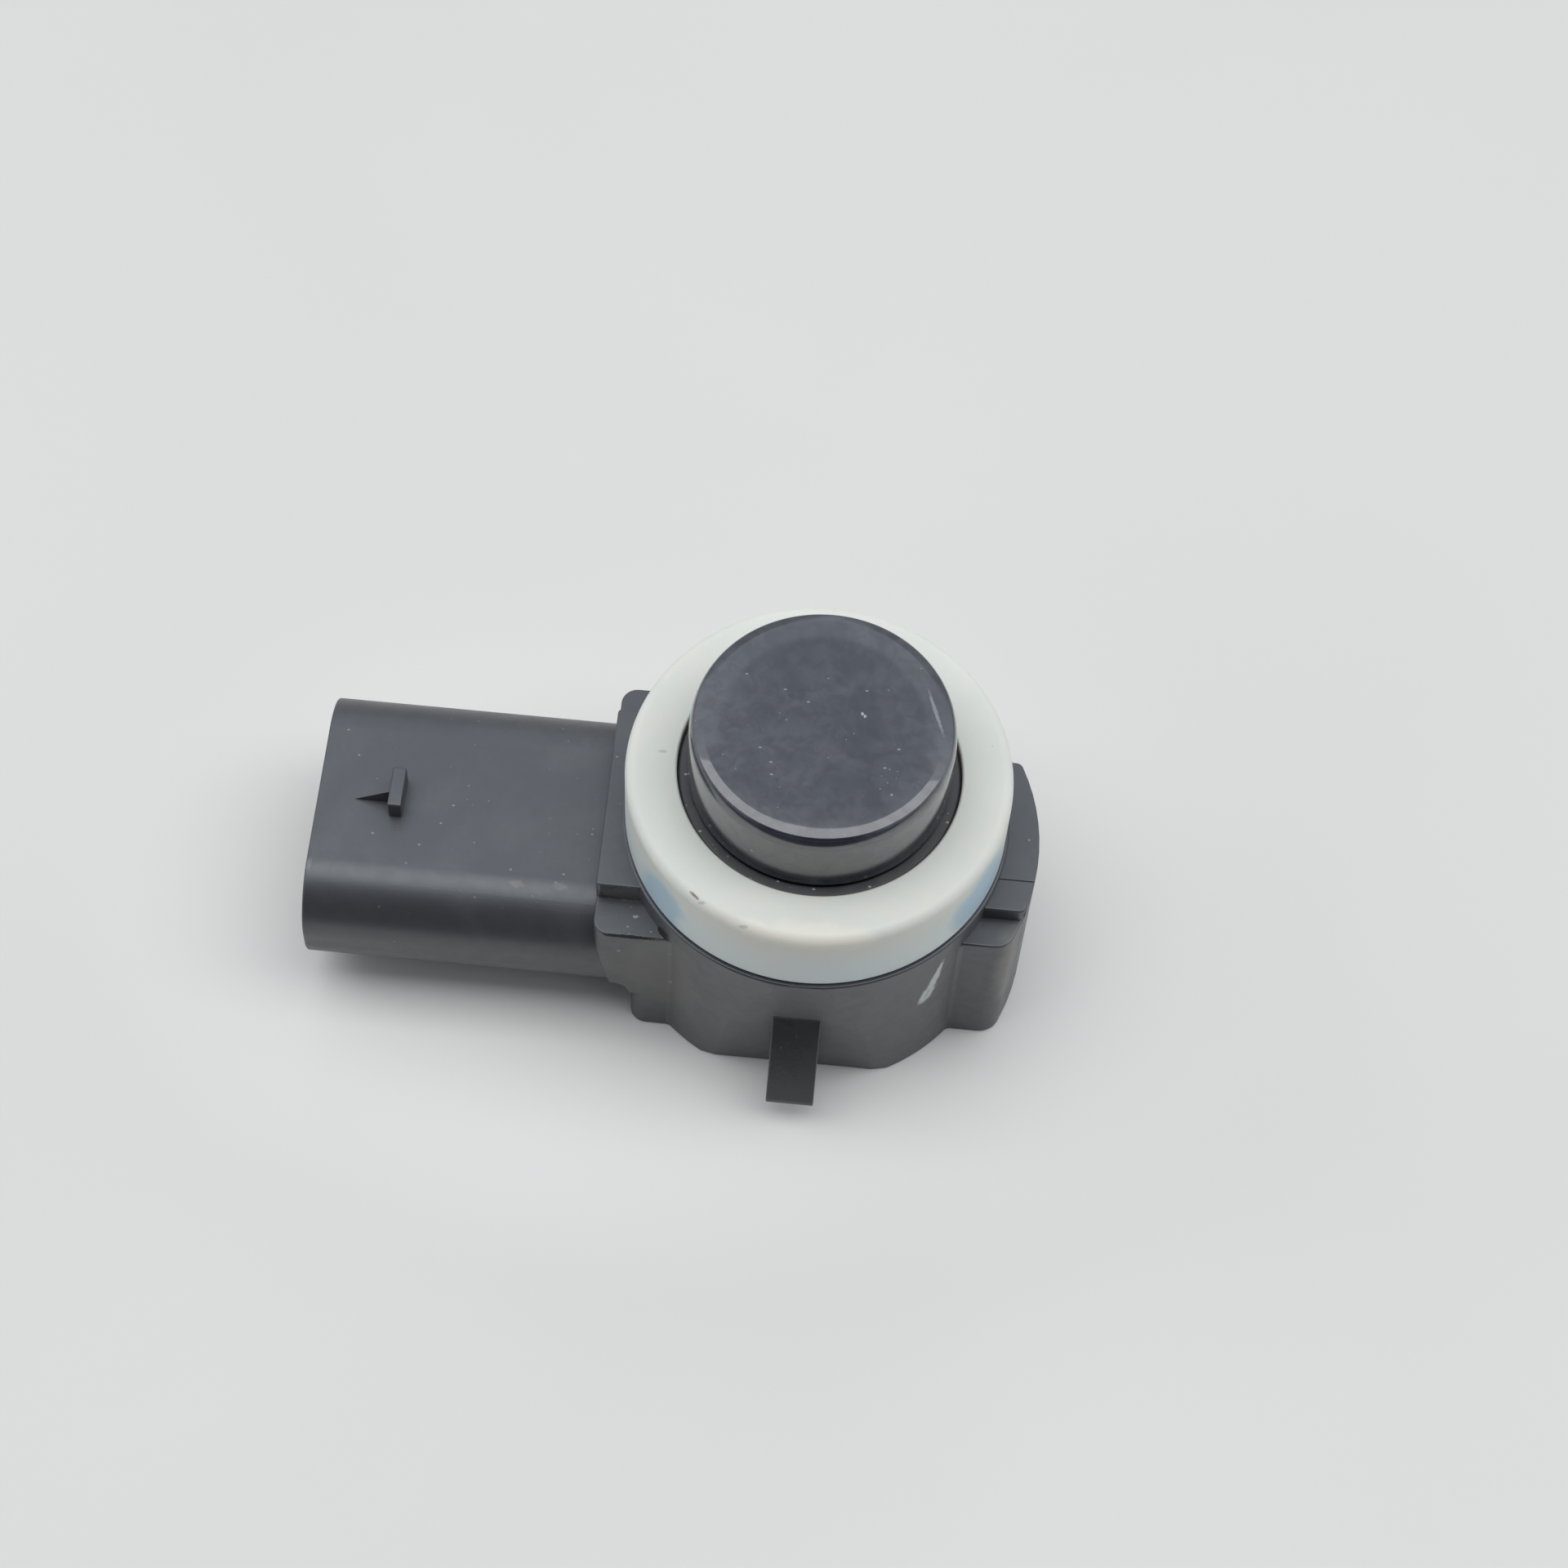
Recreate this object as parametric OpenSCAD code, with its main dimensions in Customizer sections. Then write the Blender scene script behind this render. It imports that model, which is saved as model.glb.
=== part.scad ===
// Ultrasonic parking sensor: a one-piece moulded housing with a three-way plug shroud,
// an aluminium membrane pot held in soft rings, and the sealed electronics behind it.
// Z is the membrane's axis, the rear face stands at z = 0 and the plug shroud points to -X.

/* [Membrane pot] */
// Outer diameter of the pot
pot_d = 15.5; // [14.5:0.1:16.5]
// Height of the pot from its foot to the membrane's face
pot_h = 9.7; // [9:0.1:12]
// Radius of the tight edge between the shoulder and the pot's wall
pot_edge_r = 0.35; // [0.25:0.05:0.6]
// Width from the edge of the membrane's flat face to the pot's wall
shoulder_w = 0.8; // [0.6:0.05:1.2]
// Tilt in degrees of the sloping shoulder round the flat face
shoulder_tilt = 16; // [10:1:30]
// Thickness of the membrane
membrane_t = 0.7; // [0.5:0.05:1]
// Thickness of the pot's side wall at its thinnest
pot_wall = 1.2; // [0.9:0.05:1.5]
// Depth of the round skirt behind the oval cavity
skirt_depth = 2.6; // [2.2:0.1:3.4]
// Distance between the two flats of the oval cavity
cavity_flats = 9.2; // [8.4:0.1:11]
// How much slimmer the pot's neck is where the soft rings hold it
neck_in = 0.25; // [0.2:0.05:0.4]
// How far the neck's shoulder stands above the ring's face
neck_rise = 0.1; // [0.1:0.05:0.3]

/* [Soft rings] */
// Outer diameter of the white decoupling ring
ring_od = 22.9; // [22.4:0.1:23.1]
// Height of the white decoupling ring
ring_h = 5.5; // [5:0.1:7]
// Radius of the ring's outer front edge
ring_edge_r = 0.7; // [0.3:0.05:1]
// Radius of the ring's outer foot edge
ring_foot_r = 0.35; // [0.1:0.05:0.6]
// Thickness of the black sleeve round the pot
sleeve_t = 0.8; // [0.6:0.05:1]
// Thickness of the sleeve's lip under the pot
lip_t = 1.1; // [0.8:0.1:1.6]
// How far the lip reaches in under the pot's foot
lip_reach = 0.9; // [0.6:0.05:1]
// How far the sleeve stops short of the ring's front face
sleeve_drop = 0.35; // [0.1:0.05:1]
// Radial clearance between the pot, the sleeve, the collar and the ring
soft_gap = 0.04; // [0.02:0.01:0.08]

/* [Housing] */
// Height of the seat that the soft rings stand on
seat_z = 13.2; // [12.6:0.1:15]
// Diameter of the round core under the ring
core_d = 23.3; // [23.1:0.1:24]
// Distance between the core's two flats at the rear face
flats_w = 20.6; // [20.4:0.1:22]
// Thickness of the wall between the pot and the electronics
front_wall_t = 2; // [1.4:0.1:2.6]
// Wall of the collar inside the decoupling ring
collar_t = 1.2; // [0.8:0.1:1.4]
// Height of the collar above the seat
collar_h = 3.4; // [2.6:0.1:4]
// Height of the two side ledges
ledge_z = 11.6; // [11.2:0.1:12]

/* [Plug side block] */
// Reach of the block from the membrane's axis
block_reach = 12.6; // [12.2:0.1:14]
// Reach of the block's foot, under the shroud
foot_reach = 10.4; // [10:0.1:11.4]
// Width of the block across the ledges
block_w = 17.1; // [16.9:0.1:18]
// Radius of the block's upright corners
block_r = 1; // [0.4:0.1:1.4]
// Radius of the raised bar's upright corners
bar_r = 0.25; // [0.15:0.05:0.6]
// Near end of the raised bar, from the axis
bar_near = 6.1; // [5.4:0.1:7]
// Far end of the raised bar, from the axis
bar_far = 6.1; // [5.4:0.1:7]
// Radius of the hollow where the shroud meets the foot
hollow_r = 1.2; // [0.6:0.1:1.6]
// Drop of that hollow below the shroud's middle
hollow_drop = 1.1; // [0.8:0.1:1.6]
// Drop below the ledge at which the block's side starts to lean in
lean_drop = 1.6; // [0.5:0.1:2.5]

/* [Round side block] */
// Radius of the block's curved end wall
end_r = 13.55; // [13.2:0.05:14.2]
// Offset of the curved end wall's centre along Y
end_offset = -0.9; // [-1.2:0.1:0]
// Width of the block across the ledges
end_w = 14; // [13:0.1:15]
// Radius of the block's upright corners
end_corner_r = 1.3; // [0.6:0.1:1.8]
// Width of the raised bar
end_bar_w = 10.2; // [9.6:0.1:11.6]
// Radius of the bar's upright corners
end_bar_r = 0.5; // [0.3:0.1:1]
// Drop of the raised bar below the seat
end_bar_drop = 0.4; // [0.1:0.1:0.8]
// Length of the bar's lower near end
end_step_len = 2.1; // [1:0.1:2.6]
// Drop of the bar's lower near end
end_step_drop = 0.15; // [0.1:0.05:0.4]

/* [Plug shroud] */
// Reach of the shroud's mouth from the membrane's axis
mouth_reach = 30.3; // [29:0.1:33]
// Outer width of the shroud
shroud_w = 16.3; // [15.8:0.1:16.8]
// Outer height of the shroud
shroud_h = 8.2; // [7.8:0.1:8.6]
// Outer corner radius of the shroud
shroud_r = 3.6; // [2.8:0.1:3.8]
// Height of the shroud's middle above the rear face
shroud_z = 6.35; // [6.1:0.05:6.8]
// Wall of the shroud
shroud_wall = 1.3; // [1.1:0.05:1.5]
// Depth of the socket
socket_depth = 12; // [11:0.25:13]

/* [Lock nose] */
// Distance of the lock nose's crossbar from the membrane's axis
lock_reach = 25.4; // [24:0.1:26]
// Width of the crossbar
lock_w = 2.7; // [2:0.1:4]
// Thickness of the crossbar
lock_t = 0.85; // [0.6:0.05:1.2]
// Height of the lock nose above the shroud
lock_h = 1.4; // [1:0.1:1.8]
// Length of the ramp in front of the crossbar
ramp_len = 2.2; // [1.5:0.1:3]
// Width of the ramp
ramp_w = 0.75; // [0.5:0.05:1.2]

/* [Latch noses] */
// Width of a latch nose
nose_w = 2.9; // [2.4:0.1:4]
// Height of a latch nose's upper end
nose_top = 9; // [8:0.1:10.5]
// How far a latch nose stands out past the core's flat
nose_out = 3.8; // [3.2:0.1:4.4]
// Height of a latch nose's underside
nose_lift = 2.1; // [1.6:0.1:2.6]
// Height of a latch nose's upright end face
nose_face = 0.5; // [0.3:0.1:1]

/* [Rear cover] */
// Diameter of the cover
cover_d = 18.6; // [18.2:0.1:19]
// Thickness of the cover
cover_t = 1.2; // [0.9:0.1:1.5]
// Wall of the rim that clamps the circuit board
rim_t = 0.8; // [0.5:0.1:1]
// Gap round the cover and the circuit board
cover_gap = 0.1; // [0.05:0.05:0.15]

/* [Electronics] */
// Diameter of the circuit board
board_d = 17; // [16.6:0.1:17.2]
// Thickness of the circuit board
board_t = 1; // [0.8:0.1:1.2]
// Height of the circuit board's rear side
board_z = 3.4; // [3:0.1:3.8]
// Width of the step that the board is clamped against
board_step = 0.7; // [0.5:0.05:0.8]
// Pitch of the three terminals
term_pitch = 3.5; // [3.2:0.1:3.7]
// Width of a terminal
term_w = 1.2; // [0.9:0.05:1.3]
// Thickness of a terminal
term_t = 0.63; // [0.5:0.01:0.8]
// Width of a terminal's leg
leg_w = 0.8; // [0.6:0.05:0.9]
// Distance of the terminals' legs from the membrane's axis
leg_reach = 6; // [5.8:0.05:6.1]
// Bend radius of a terminal's leg
bend_r = 0.4; // [0.3:0.05:0.6]
// Length of a terminal's pointed tip
taper_len = 1.2; // [0.8:0.1:1.6]
// Set-back of the terminals' tips from the mouth
tip_setback = 5.2; // [5:0.1:6]
// Clearance round terminals and pins where they pass through
pass_gap = 0.03; // [0.02:0.01:0.06]
// Distance of the two contact pins from the membrane's axis
pin_reach = 5.2; // [5.1:0.05:5.3]
// Diameter of a contact pin
pin_d = 0.6; // [0.5:0.05:0.7]
// Thickness of the contact carrier
carrier_t = 2.2; // [1.8:0.1:2.4]
// Gap round the contact carrier
carrier_gap = 0.2; // [0.1:0.05:0.3]
// Width of the housing's seat under the contact carrier
carrier_seat = 0.5; // [0.3:0.05:0.6]
// Length of pin that stands out of the carrier towards the pot
pin_stub = 1.2; // [0.8:0.1:1.5]
// Length of pin and leg that stands out behind the circuit board
leg_stub = 0.5; // [0.3:0.1:0.8]
// Diameter of the piezo disc
piezo_d = 7.2; // [6.8:0.1:8]
// Thickness of the piezo disc
piezo_t = 0.4; // [0.2:0.05:0.6]
// Diameter of the damping foam
foam_d = 5.6; // [5:0.1:5.8]
// Diameter of the two pot wires
wire_d = 0.4; // [0.3:0.05:0.5]
// Bend radius of the cranked pot wire
wire_bend_r = 0.6; // [0.4:0.05:0.7]
// How far behind the piezo disc the cranked wire turns in
crank_drop = 1.6; // [1.3:0.05:2]

/* [Circuit parts] */
// Width of the square sensor chip
chip_w = 5; // [4:0.1:5.4]
// Height of the sensor chip and the diode
rear_part_h = 0.9; // [0.7:0.05:1.1]
// Length of the storage capacitor
storage_l = 3.2; // [2.8:0.1:3.6]
// Width of the storage capacitor
storage_w = 2.2; // [1.6:0.1:2.4]
// Height of the storage capacitor
storage_h = 1.8; // [1.4:0.1:2.2]
// Distance of the storage capacitor from the membrane's axis
storage_reach = 2.9; // [2.6:0.1:3]
// Length of a small chip part
small_l = 1.6; // [1.2:0.1:1.8]
// Width of a small chip part
small_w = 0.8; // [0.6:0.05:1]
// Height of a ceramic capacitor
ceramic_h = 0.8; // [0.6:0.05:1]
// Distance of the ceramic capacitors' rows from the board's middle line
ceramic_y = 4.4; // [4.2:0.1:4.6]
// Height of a chip resistor
resistor_h = 0.45; // [0.35:0.05:0.6]
// Pitch of the chip resistors
resistor_pitch = 2.4; // [2:0.1:2.6]
// Distance of the chip resistors' row from the board's middle line
resistor_y = 3.8; // [3.6:0.1:4]
// Length of the protection diode
diode_l = 2.8; // [2.4:0.1:3]
// Width of the protection diode
diode_w = 1.7; // [1.4:0.1:1.8]
// Distance of the protection diode from the board's middle line
diode_y = 4; // [3.8:0.1:4.2]

/* [Transformer] */
// Distance of the transformer from the membrane's axis
ferrite_reach = 2.4; // [2:0.1:2.6]
// Length of the ferrite core
ferrite_l = 5.6; // [5.2:0.1:6]
// Width of the ferrite core
ferrite_w = 3.2; // [2.8:0.1:3.6]
// Thickness of the ferrite core's walls
ferrite_t = 0.8; // [0.6:0.05:0.9]
// Height of the winding window
window_h = 3.2; // [2.6:0.1:3.6]
// Diameter of the ferrite core's middle post
post_d = 2; // [1.6:0.1:2.2]
// Thickness of the bobbin's walls
bobbin_t = 0.3; // [0.2:0.05:0.4]
// Clearance between the ferrite core, the bobbin and the winding
coil_gap = 0.05; // [0.03:0.01:0.08]

/* [Hidden] */
$fn = 64;
// Overlap that joins or cuts solids cleanly
lap = 0.5;

// Stack along the membrane's axis
ring_top = seat_z + ring_h;
pot_z = seat_z + lip_t;
pot_top = pot_z + pot_h;
membrane_z = pot_top - membrane_t;
piezo_z = membrane_z - piezo_t;
carrier_top = seat_z + carrier_t;
pin_top = carrier_top + pin_stub;
bay_top = seat_z - front_wall_t;
board_top = board_z + board_t;

// Radii from the pot outwards
pot_r = pot_d / 2;
neck_r = pot_r - neck_in;
skirt_r = pot_r - pot_wall;
sleeve_in_r = neck_r + soft_gap;
sleeve_out_r = sleeve_in_r + sleeve_t;
lip_r = neck_r - lip_reach;
carrier_r = min(lip_r, skirt_r) - carrier_gap;
collar_in_r = sleeve_out_r + soft_gap;
collar_out_r = collar_in_r + collar_t;
window_r = carrier_r - carrier_seat;

// Electronics bay
bay_r = board_d / 2 - board_step;
tip_x = tip_setback - mouth_reach;
socket_x = socket_depth - mouth_reach;
leg_foot = board_z - leg_stub;

plastic = [0.2, 0.2, 0.22];
inner_plastic = [0.13, 0.13, 0.14];
white_silicone = [0.84, 0.85, 0.81];
black_silicone = [0.08, 0.08, 0.09];
slate_paint = [0.3, 0.31, 0.34];
tin = [0.78, 0.78, 0.76];

// Rounded rectangle about the origin
module round_rect(w, h, r) {
    square([w, h - 2 * r], center = true);
    square([w - 2 * r, h], center = true);
    for (sx = [-1, 1], sy = [-1, 1])
        translate([sx * (w / 2 - r), sy * (h / 2 - r)]) circle(r);
}

// Takes the corner at the origin off to a radius, for a shape that lies in -X and -Y
module corner_cut(r) {
    translate([-r, -r])
        difference() {
            square(r + lap);
            circle(r);
        }
}

// Extrudes a Y-Z profile along X
module along_x(x0, x1) {
    translate([x0, 0, 0]) rotate([90, 0, 90]) linear_extrude(x1 - x0) children();
}

// Extrudes an X-Z profile along Y
module along_y(y0, y1) {
    translate([0, y1, 0]) rotate([90, 0, 0]) linear_extrude(y1 - y0) children();
}

// Round core whose two flats lean in towards the rear face
module core() {
    intersection() {
        cylinder(d = core_d, h = seat_z);
        along_x(-core_d, core_d)
            polygon([[-flats_w / 2, 0], [flats_w / 2, 0], [core_d / 2, seat_z], [-core_d / 2, seat_z]]);
    }
}

// Plan of a strip from the axis to the reach in -X, with rounded outer corners
module strip_plan(reach, y0, y1, r) {
    translate([-reach + r, y0]) square([reach - r, y1 - y0]);
    translate([-reach, y0 + r]) square([reach, y1 - y0 - 2 * r]);
    for (y = [y0 + r, y1 - r]) translate([-reach + r, y]) circle(r);
}

// Block beside the core that carries the plug shroud, with its ledge and raised bar
module plug_block() {
    side = block_w / 2;
    hollow_z = shroud_z - hollow_drop;
    linear_extrude(ledge_z) strip_plan(foot_reach, -side, side, block_r);
    intersection() {
        along_y(-side, side) {
            polygon([[0, hollow_z], [-foot_reach - hollow_r, hollow_z], [-block_reach, ledge_z - lean_drop],
                [-block_reach, ledge_z], [0, ledge_z]]);
            translate([-foot_reach - hollow_r, hollow_z - hollow_r])
                difference() {
                    square(hollow_r);
                    circle(hollow_r);
                }
        }
        linear_extrude(ledge_z) strip_plan(block_reach, -side, side, block_r);
    }
    translate([0, 0, ledge_z - lean_drop])
        linear_extrude(seat_z - ledge_z + lean_drop) strip_plan(block_reach, -bar_near, bar_far, bar_r);
}

// Plan of a strip from the axis to the curved end wall in +X, with rounded outer corners
module end_plan(half_w, r) {
    for (s = [-1, 1]) {
        rise = half_w - r - s * end_offset;
        corner_x = sqrt(pow(end_r - r, 2) - pow(rise, 2));
        tangent_y = end_offset + s * rise * end_r / (end_r - r);
        intersection() {
            translate([0, end_offset]) circle(end_r, $fn = 128);
            translate([0, min(0, tangent_y)]) square([end_r, abs(tangent_y)]);
        }
        translate([0, min(0, s * half_w)]) square([corner_x, half_w]);
        translate([corner_x, s * (half_w - r)]) circle(r);
    }
}

// Block on the other side of the core, with its ledge and its bar that steps down at the near end
module round_block() {
    bar_z = seat_z - end_bar_drop;
    near_y = -end_bar_w / 2;
    step_y = near_y + end_step_len;
    step_z = bar_z - end_step_drop;
    linear_extrude(ledge_z) end_plan(end_w / 2, end_corner_r);
    intersection() {
        linear_extrude(bar_z) end_plan(end_bar_w / 2, end_bar_r);
        along_x(0, end_r + lap)
            polygon([[near_y, 0], [near_y, step_z], [step_y, step_z], [step_y, bar_z],
                [end_bar_w / 2, bar_z], [end_bar_w / 2, 0]]);
    }
}

// Plug shroud with the lock nose on top
module shroud() {
    top = shroud_z + shroud_h / 2;
    along_x(-mouth_reach, 0) translate([0, shroud_z]) round_rect(shroud_w, shroud_h, shroud_r);
    translate([-lock_reach - lock_t / 2, -lock_w / 2, top - lap]) cube([lock_t, lock_w, lock_h + lap]);
    along_y(-ramp_w / 2, ramp_w / 2)
        polygon([[-lock_reach, top - lap], [-lock_reach, top + lock_h],
            [-lock_reach - lock_t / 2, top + lock_h], [-lock_reach - lock_t / 2 - ramp_len, top],
            [-lock_reach - lock_t / 2 - ramp_len, top - lap]]);
}

// Latch nose on each of the core's flats
module latch_noses() {
    tip_y = flats_w / 2 + nose_out;
    for (side = [0, 1])
        mirror([0, side, 0])
            along_x(-nose_w / 2, nose_w / 2)
                polygon([[0, nose_lift], [-tip_y, nose_lift], [-tip_y, nose_lift + nose_face],
                    [-flats_w / 2, nose_top], [0, nose_top]]);
}

// Hollows of the housing: electronics bay, window to the pot, socket and terminal slots
module housing_hollows() {
    translate([0, 0, -lap]) cylinder(d = cover_d + 2 * cover_gap, h = cover_t + lap);
    translate([0, 0, -lap]) cylinder(r = board_d / 2 + cover_gap, h = board_top + lap);
    translate([0, 0, -lap]) cylinder(r = bay_r, h = bay_top + lap);
    translate([0, 0, bay_top - lap]) cylinder(r = window_r, h = front_wall_t + 2 * lap);
    along_x(-mouth_reach - lap, socket_x)
        translate([0, shroud_z])
            round_rect(shroud_w - 2 * shroud_wall, shroud_h - 2 * shroud_wall, shroud_r - shroud_wall);
    for (i = [-1, 0, 1])
        along_x(socket_x - lap, -leg_reach)
            translate([i * term_pitch, shroud_z])
                square([term_w + 2 * pass_gap, term_t + 2 * pass_gap], center = true);
}

module housing() {
    color(plastic)
        difference() {
            union() {
                core();
                plug_block();
                round_block();
                shroud();
                latch_noses();
                cylinder(r = collar_out_r, h = seat_z + collar_h);
            }
            housing_hollows();
            translate([0, 0, seat_z]) cylinder(r = collar_in_r, h = collar_h + lap);
        }
}

// Welded cover whose rim clamps the circuit board against the bay's step
module rear_cover() {
    color(inner_plastic) {
        cylinder(d = cover_d, h = cover_t);
        difference() {
            cylinder(d = board_d, h = board_z);
            translate([0, 0, cover_t]) cylinder(d = board_d - 2 * rim_t, h = board_z);
        }
    }
}

module decoupling_ring() {
    lip_z = seat_z + collar_h + soft_gap;
    color(white_silicone)
        rotate_extrude($fn = 128)
            difference() {
                translate([collar_in_r, seat_z]) square([ring_od / 2 - collar_in_r, ring_h]);
                translate([0, seat_z - lap]) square([collar_out_r + soft_gap, lip_z - seat_z + lap]);
                translate([ring_od / 2, ring_top]) corner_cut(ring_edge_r);
                translate([ring_od / 2, seat_z]) mirror([0, 1]) corner_cut(ring_foot_r);
            }
}

// Half section of the pot's outside: a flat face, a sloping shoulder, a tight edge and the wall
module pot_outline() {
    face_r = pot_r - shoulder_w;
    edge_x = pot_r - pot_edge_r;
    meet_x = edge_x + pot_edge_r * sin(shoulder_tilt);
    meet_z = pot_h - (meet_x - face_r) * tan(shoulder_tilt);
    edge_z = meet_z - pot_edge_r * cos(shoulder_tilt);
    polygon([[0, 0], [pot_r, 0], [pot_r, edge_z], [edge_x, edge_z], [meet_x, meet_z],
        [face_r, pot_h], [0, pot_h]]);
    translate([edge_x, edge_z]) circle(pot_edge_r);
}

// Deep-drawn cup with an oval cavity behind its membrane
module membrane_pot() {
    color(slate_paint)
        difference() {
            translate([0, 0, pot_z])
                rotate_extrude($fn = 128)
                    difference() {
                        pot_outline();
                        translate([neck_r, -lap]) square([pot_r, ring_top + neck_rise - pot_z + lap]);
                    }
            translate([0, 0, pot_z - lap]) cylinder(r = skirt_r, h = skirt_depth + lap);
            intersection() {
                translate([0, 0, pot_z]) cylinder(r = skirt_r, h = pot_h - membrane_t);
                translate([-cavity_flats / 2, -pot_d, pot_z]) cube([cavity_flats, 2 * pot_d, pot_h]);
            }
        }
}

// Black sleeve between the pot and the collar, with a lip under the pot's foot
module pot_sleeve() {
    color(black_silicone)
        rotate_extrude($fn = 128) {
            translate([lip_r, seat_z]) square([sleeve_out_r - lip_r, lip_t]);
            translate([sleeve_in_r, seat_z]) square([sleeve_t, ring_h - sleeve_drop]);
        }
}

module piezo_disc() {
    color("Ivory") translate([0, 0, piezo_z]) cylinder(d = piezo_d, h = piezo_t);
}

module damping_foam() {
    color("DimGray") translate([0, 0, carrier_top]) cylinder(d = foam_d, h = piezo_z - carrier_top);
}

// Disc behind the pot that holds the two contact pins
module contact_carrier() {
    color(inner_plastic)
        difference() {
            translate([0, 0, seat_z]) cylinder(r = carrier_r, h = carrier_t);
            for (s = [-1, 1])
                translate([0, s * pin_reach, seat_z - lap])
                    cylinder(d = pin_d + 2 * pass_gap, h = carrier_t + 2 * lap);
        }
}

// Pin from the carrier's front side through the circuit board
module contact_pin(s) {
    color(tin) translate([0, s * pin_reach, leg_foot]) cylinder(d = pin_d, h = pin_top - leg_foot);
}

module contact_pin_signal() contact_pin(1);

module contact_pin_ground() contact_pin(-1);

// Quarter bend of a wire in the Y-Z plane about the origin, from the given angle
module wire_bend(start) {
    rotate([90, 0, 90])
        rotate([0, 0, start])
            rotate_extrude(angle = 90, $fn = 48) translate([wire_bend_r, 0]) circle(d = wire_d, $fn = 24);
}

// Wire from its pin to the rear side of the piezo disc, cranked in beside the foam
module signal_wire() {
    solder_y = (piezo_d + foam_d) / 4;
    crank_z = piezo_z - crank_drop;
    color("Firebrick") {
        translate([0, pin_reach, pin_top])
            cylinder(d = wire_d, h = crank_z - wire_bend_r - pin_top, $fn = 24);
        translate([0, pin_reach - wire_bend_r, crank_z - wire_bend_r]) wire_bend(0);
        translate([0, solder_y + wire_bend_r, crank_z])
            rotate([-90, 0, 0])
                cylinder(d = wire_d, h = pin_reach - solder_y - 2 * wire_bend_r, $fn = 24);
        translate([0, solder_y + wire_bend_r, crank_z + wire_bend_r]) wire_bend(180);
        translate([0, solder_y, crank_z + wire_bend_r])
            cylinder(d = wire_d, h = piezo_z - crank_z - wire_bend_r, $fn = 24);
    }
}

// Wire from its pin to the inner face of the membrane
module ground_wire() {
    color("Black")
        translate([0, -pin_reach, pin_top]) cylinder(d = wire_d, h = membrane_z - pin_top, $fn = 24);
}

module circuit_board() {
    color("DarkGreen")
        difference() {
            translate([0, 0, board_z]) cylinder(d = board_d, h = board_t);
            for (i = [-1, 0, 1])
                translate([-leg_reach, i * term_pitch, board_z - lap])
                    cylinder(d = norm([leg_w, term_t]) + 2 * pass_gap, h = board_t + 2 * lap);
            for (s = [-1, 1])
                translate([0, s * pin_reach, board_z - lap])
                    cylinder(d = pin_d + 2 * pass_gap, h = board_t + 2 * lap);
        }
}

// Flat package on the rear side of the circuit board
module sensor_chip() {
    color("DimGray")
        translate([-chip_w / 2, -chip_w / 2, board_z - rear_part_h])
            cube([chip_w, chip_w, rear_part_h]);
}

// Ferrite frame with a round middle post, standing on the circuit board
module transformer_core() {
    frame_h = window_h + 2 * ferrite_t;
    color("DarkSlateGray")
        translate([ferrite_reach, 0, board_top]) {
            difference() {
                translate([-ferrite_w / 2, -ferrite_l / 2, 0]) cube([ferrite_w, ferrite_l, frame_h]);
                translate([-ferrite_w, ferrite_t - ferrite_l / 2, ferrite_t])
                    cube([2 * ferrite_w, ferrite_l - 2 * ferrite_t, window_h]);
            }
            translate([0, 0, ferrite_t - lap]) cylinder(d = post_d, h = window_h + 2 * lap);
        }
}

// Radii of the bobbin's hub and flanges
hub_in_r = post_d / 2 + coil_gap;
hub_r = hub_in_r + bobbin_t;
flange_r = ferrite_l / 2 - ferrite_t - coil_gap;
bobbin_z = board_top + ferrite_t + coil_gap;
bobbin_h = window_h - 2 * coil_gap;

module transformer_bobbin() {
    color("Beige")
        translate([ferrite_reach, 0, bobbin_z])
            rotate_extrude()
                difference() {
                    translate([hub_in_r, 0]) square([flange_r - hub_in_r, bobbin_h]);
                    translate([hub_r, bobbin_t]) square([flange_r, bobbin_h - 2 * bobbin_t]);
                }
}

module transformer_winding() {
    color("Peru")
        translate([ferrite_reach, 0, bobbin_z + bobbin_t + coil_gap])
            rotate_extrude()
                translate([hub_r + coil_gap, 0])
                    square([flange_r - hub_r - 3 * coil_gap, bobbin_h - 2 * bobbin_t - 2 * coil_gap]);
}

// Chip part of the given size with its middle at a place on the board's front or rear side
module chip_part(place, size, front) {
    z = front ? board_top : board_z - size.z;
    translate([place.x - size.x / 2, place.y - size.y / 2, z]) cube(size);
}

module storage_capacitor() {
    color("Goldenrod") chip_part([-storage_reach, 0], [storage_w, storage_l, storage_h], true);
}

module ceramic_capacitors() {
    color("Tan")
        for (x = [-storage_reach, ferrite_reach], s = [-1, 1])
            chip_part([x, s * ceramic_y], [small_l, small_w, ceramic_h], true);
}

module chip_resistors() {
    color("DarkSlateBlue")
        for (i = [-1, 0, 1])
            chip_part([i * resistor_pitch, resistor_y], [small_l, small_w, resistor_h], false);
}

module protection_diode() {
    color("DimGray") chip_part([0, -diode_y], [diode_l, diode_w, rear_part_h], false);
}

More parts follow.
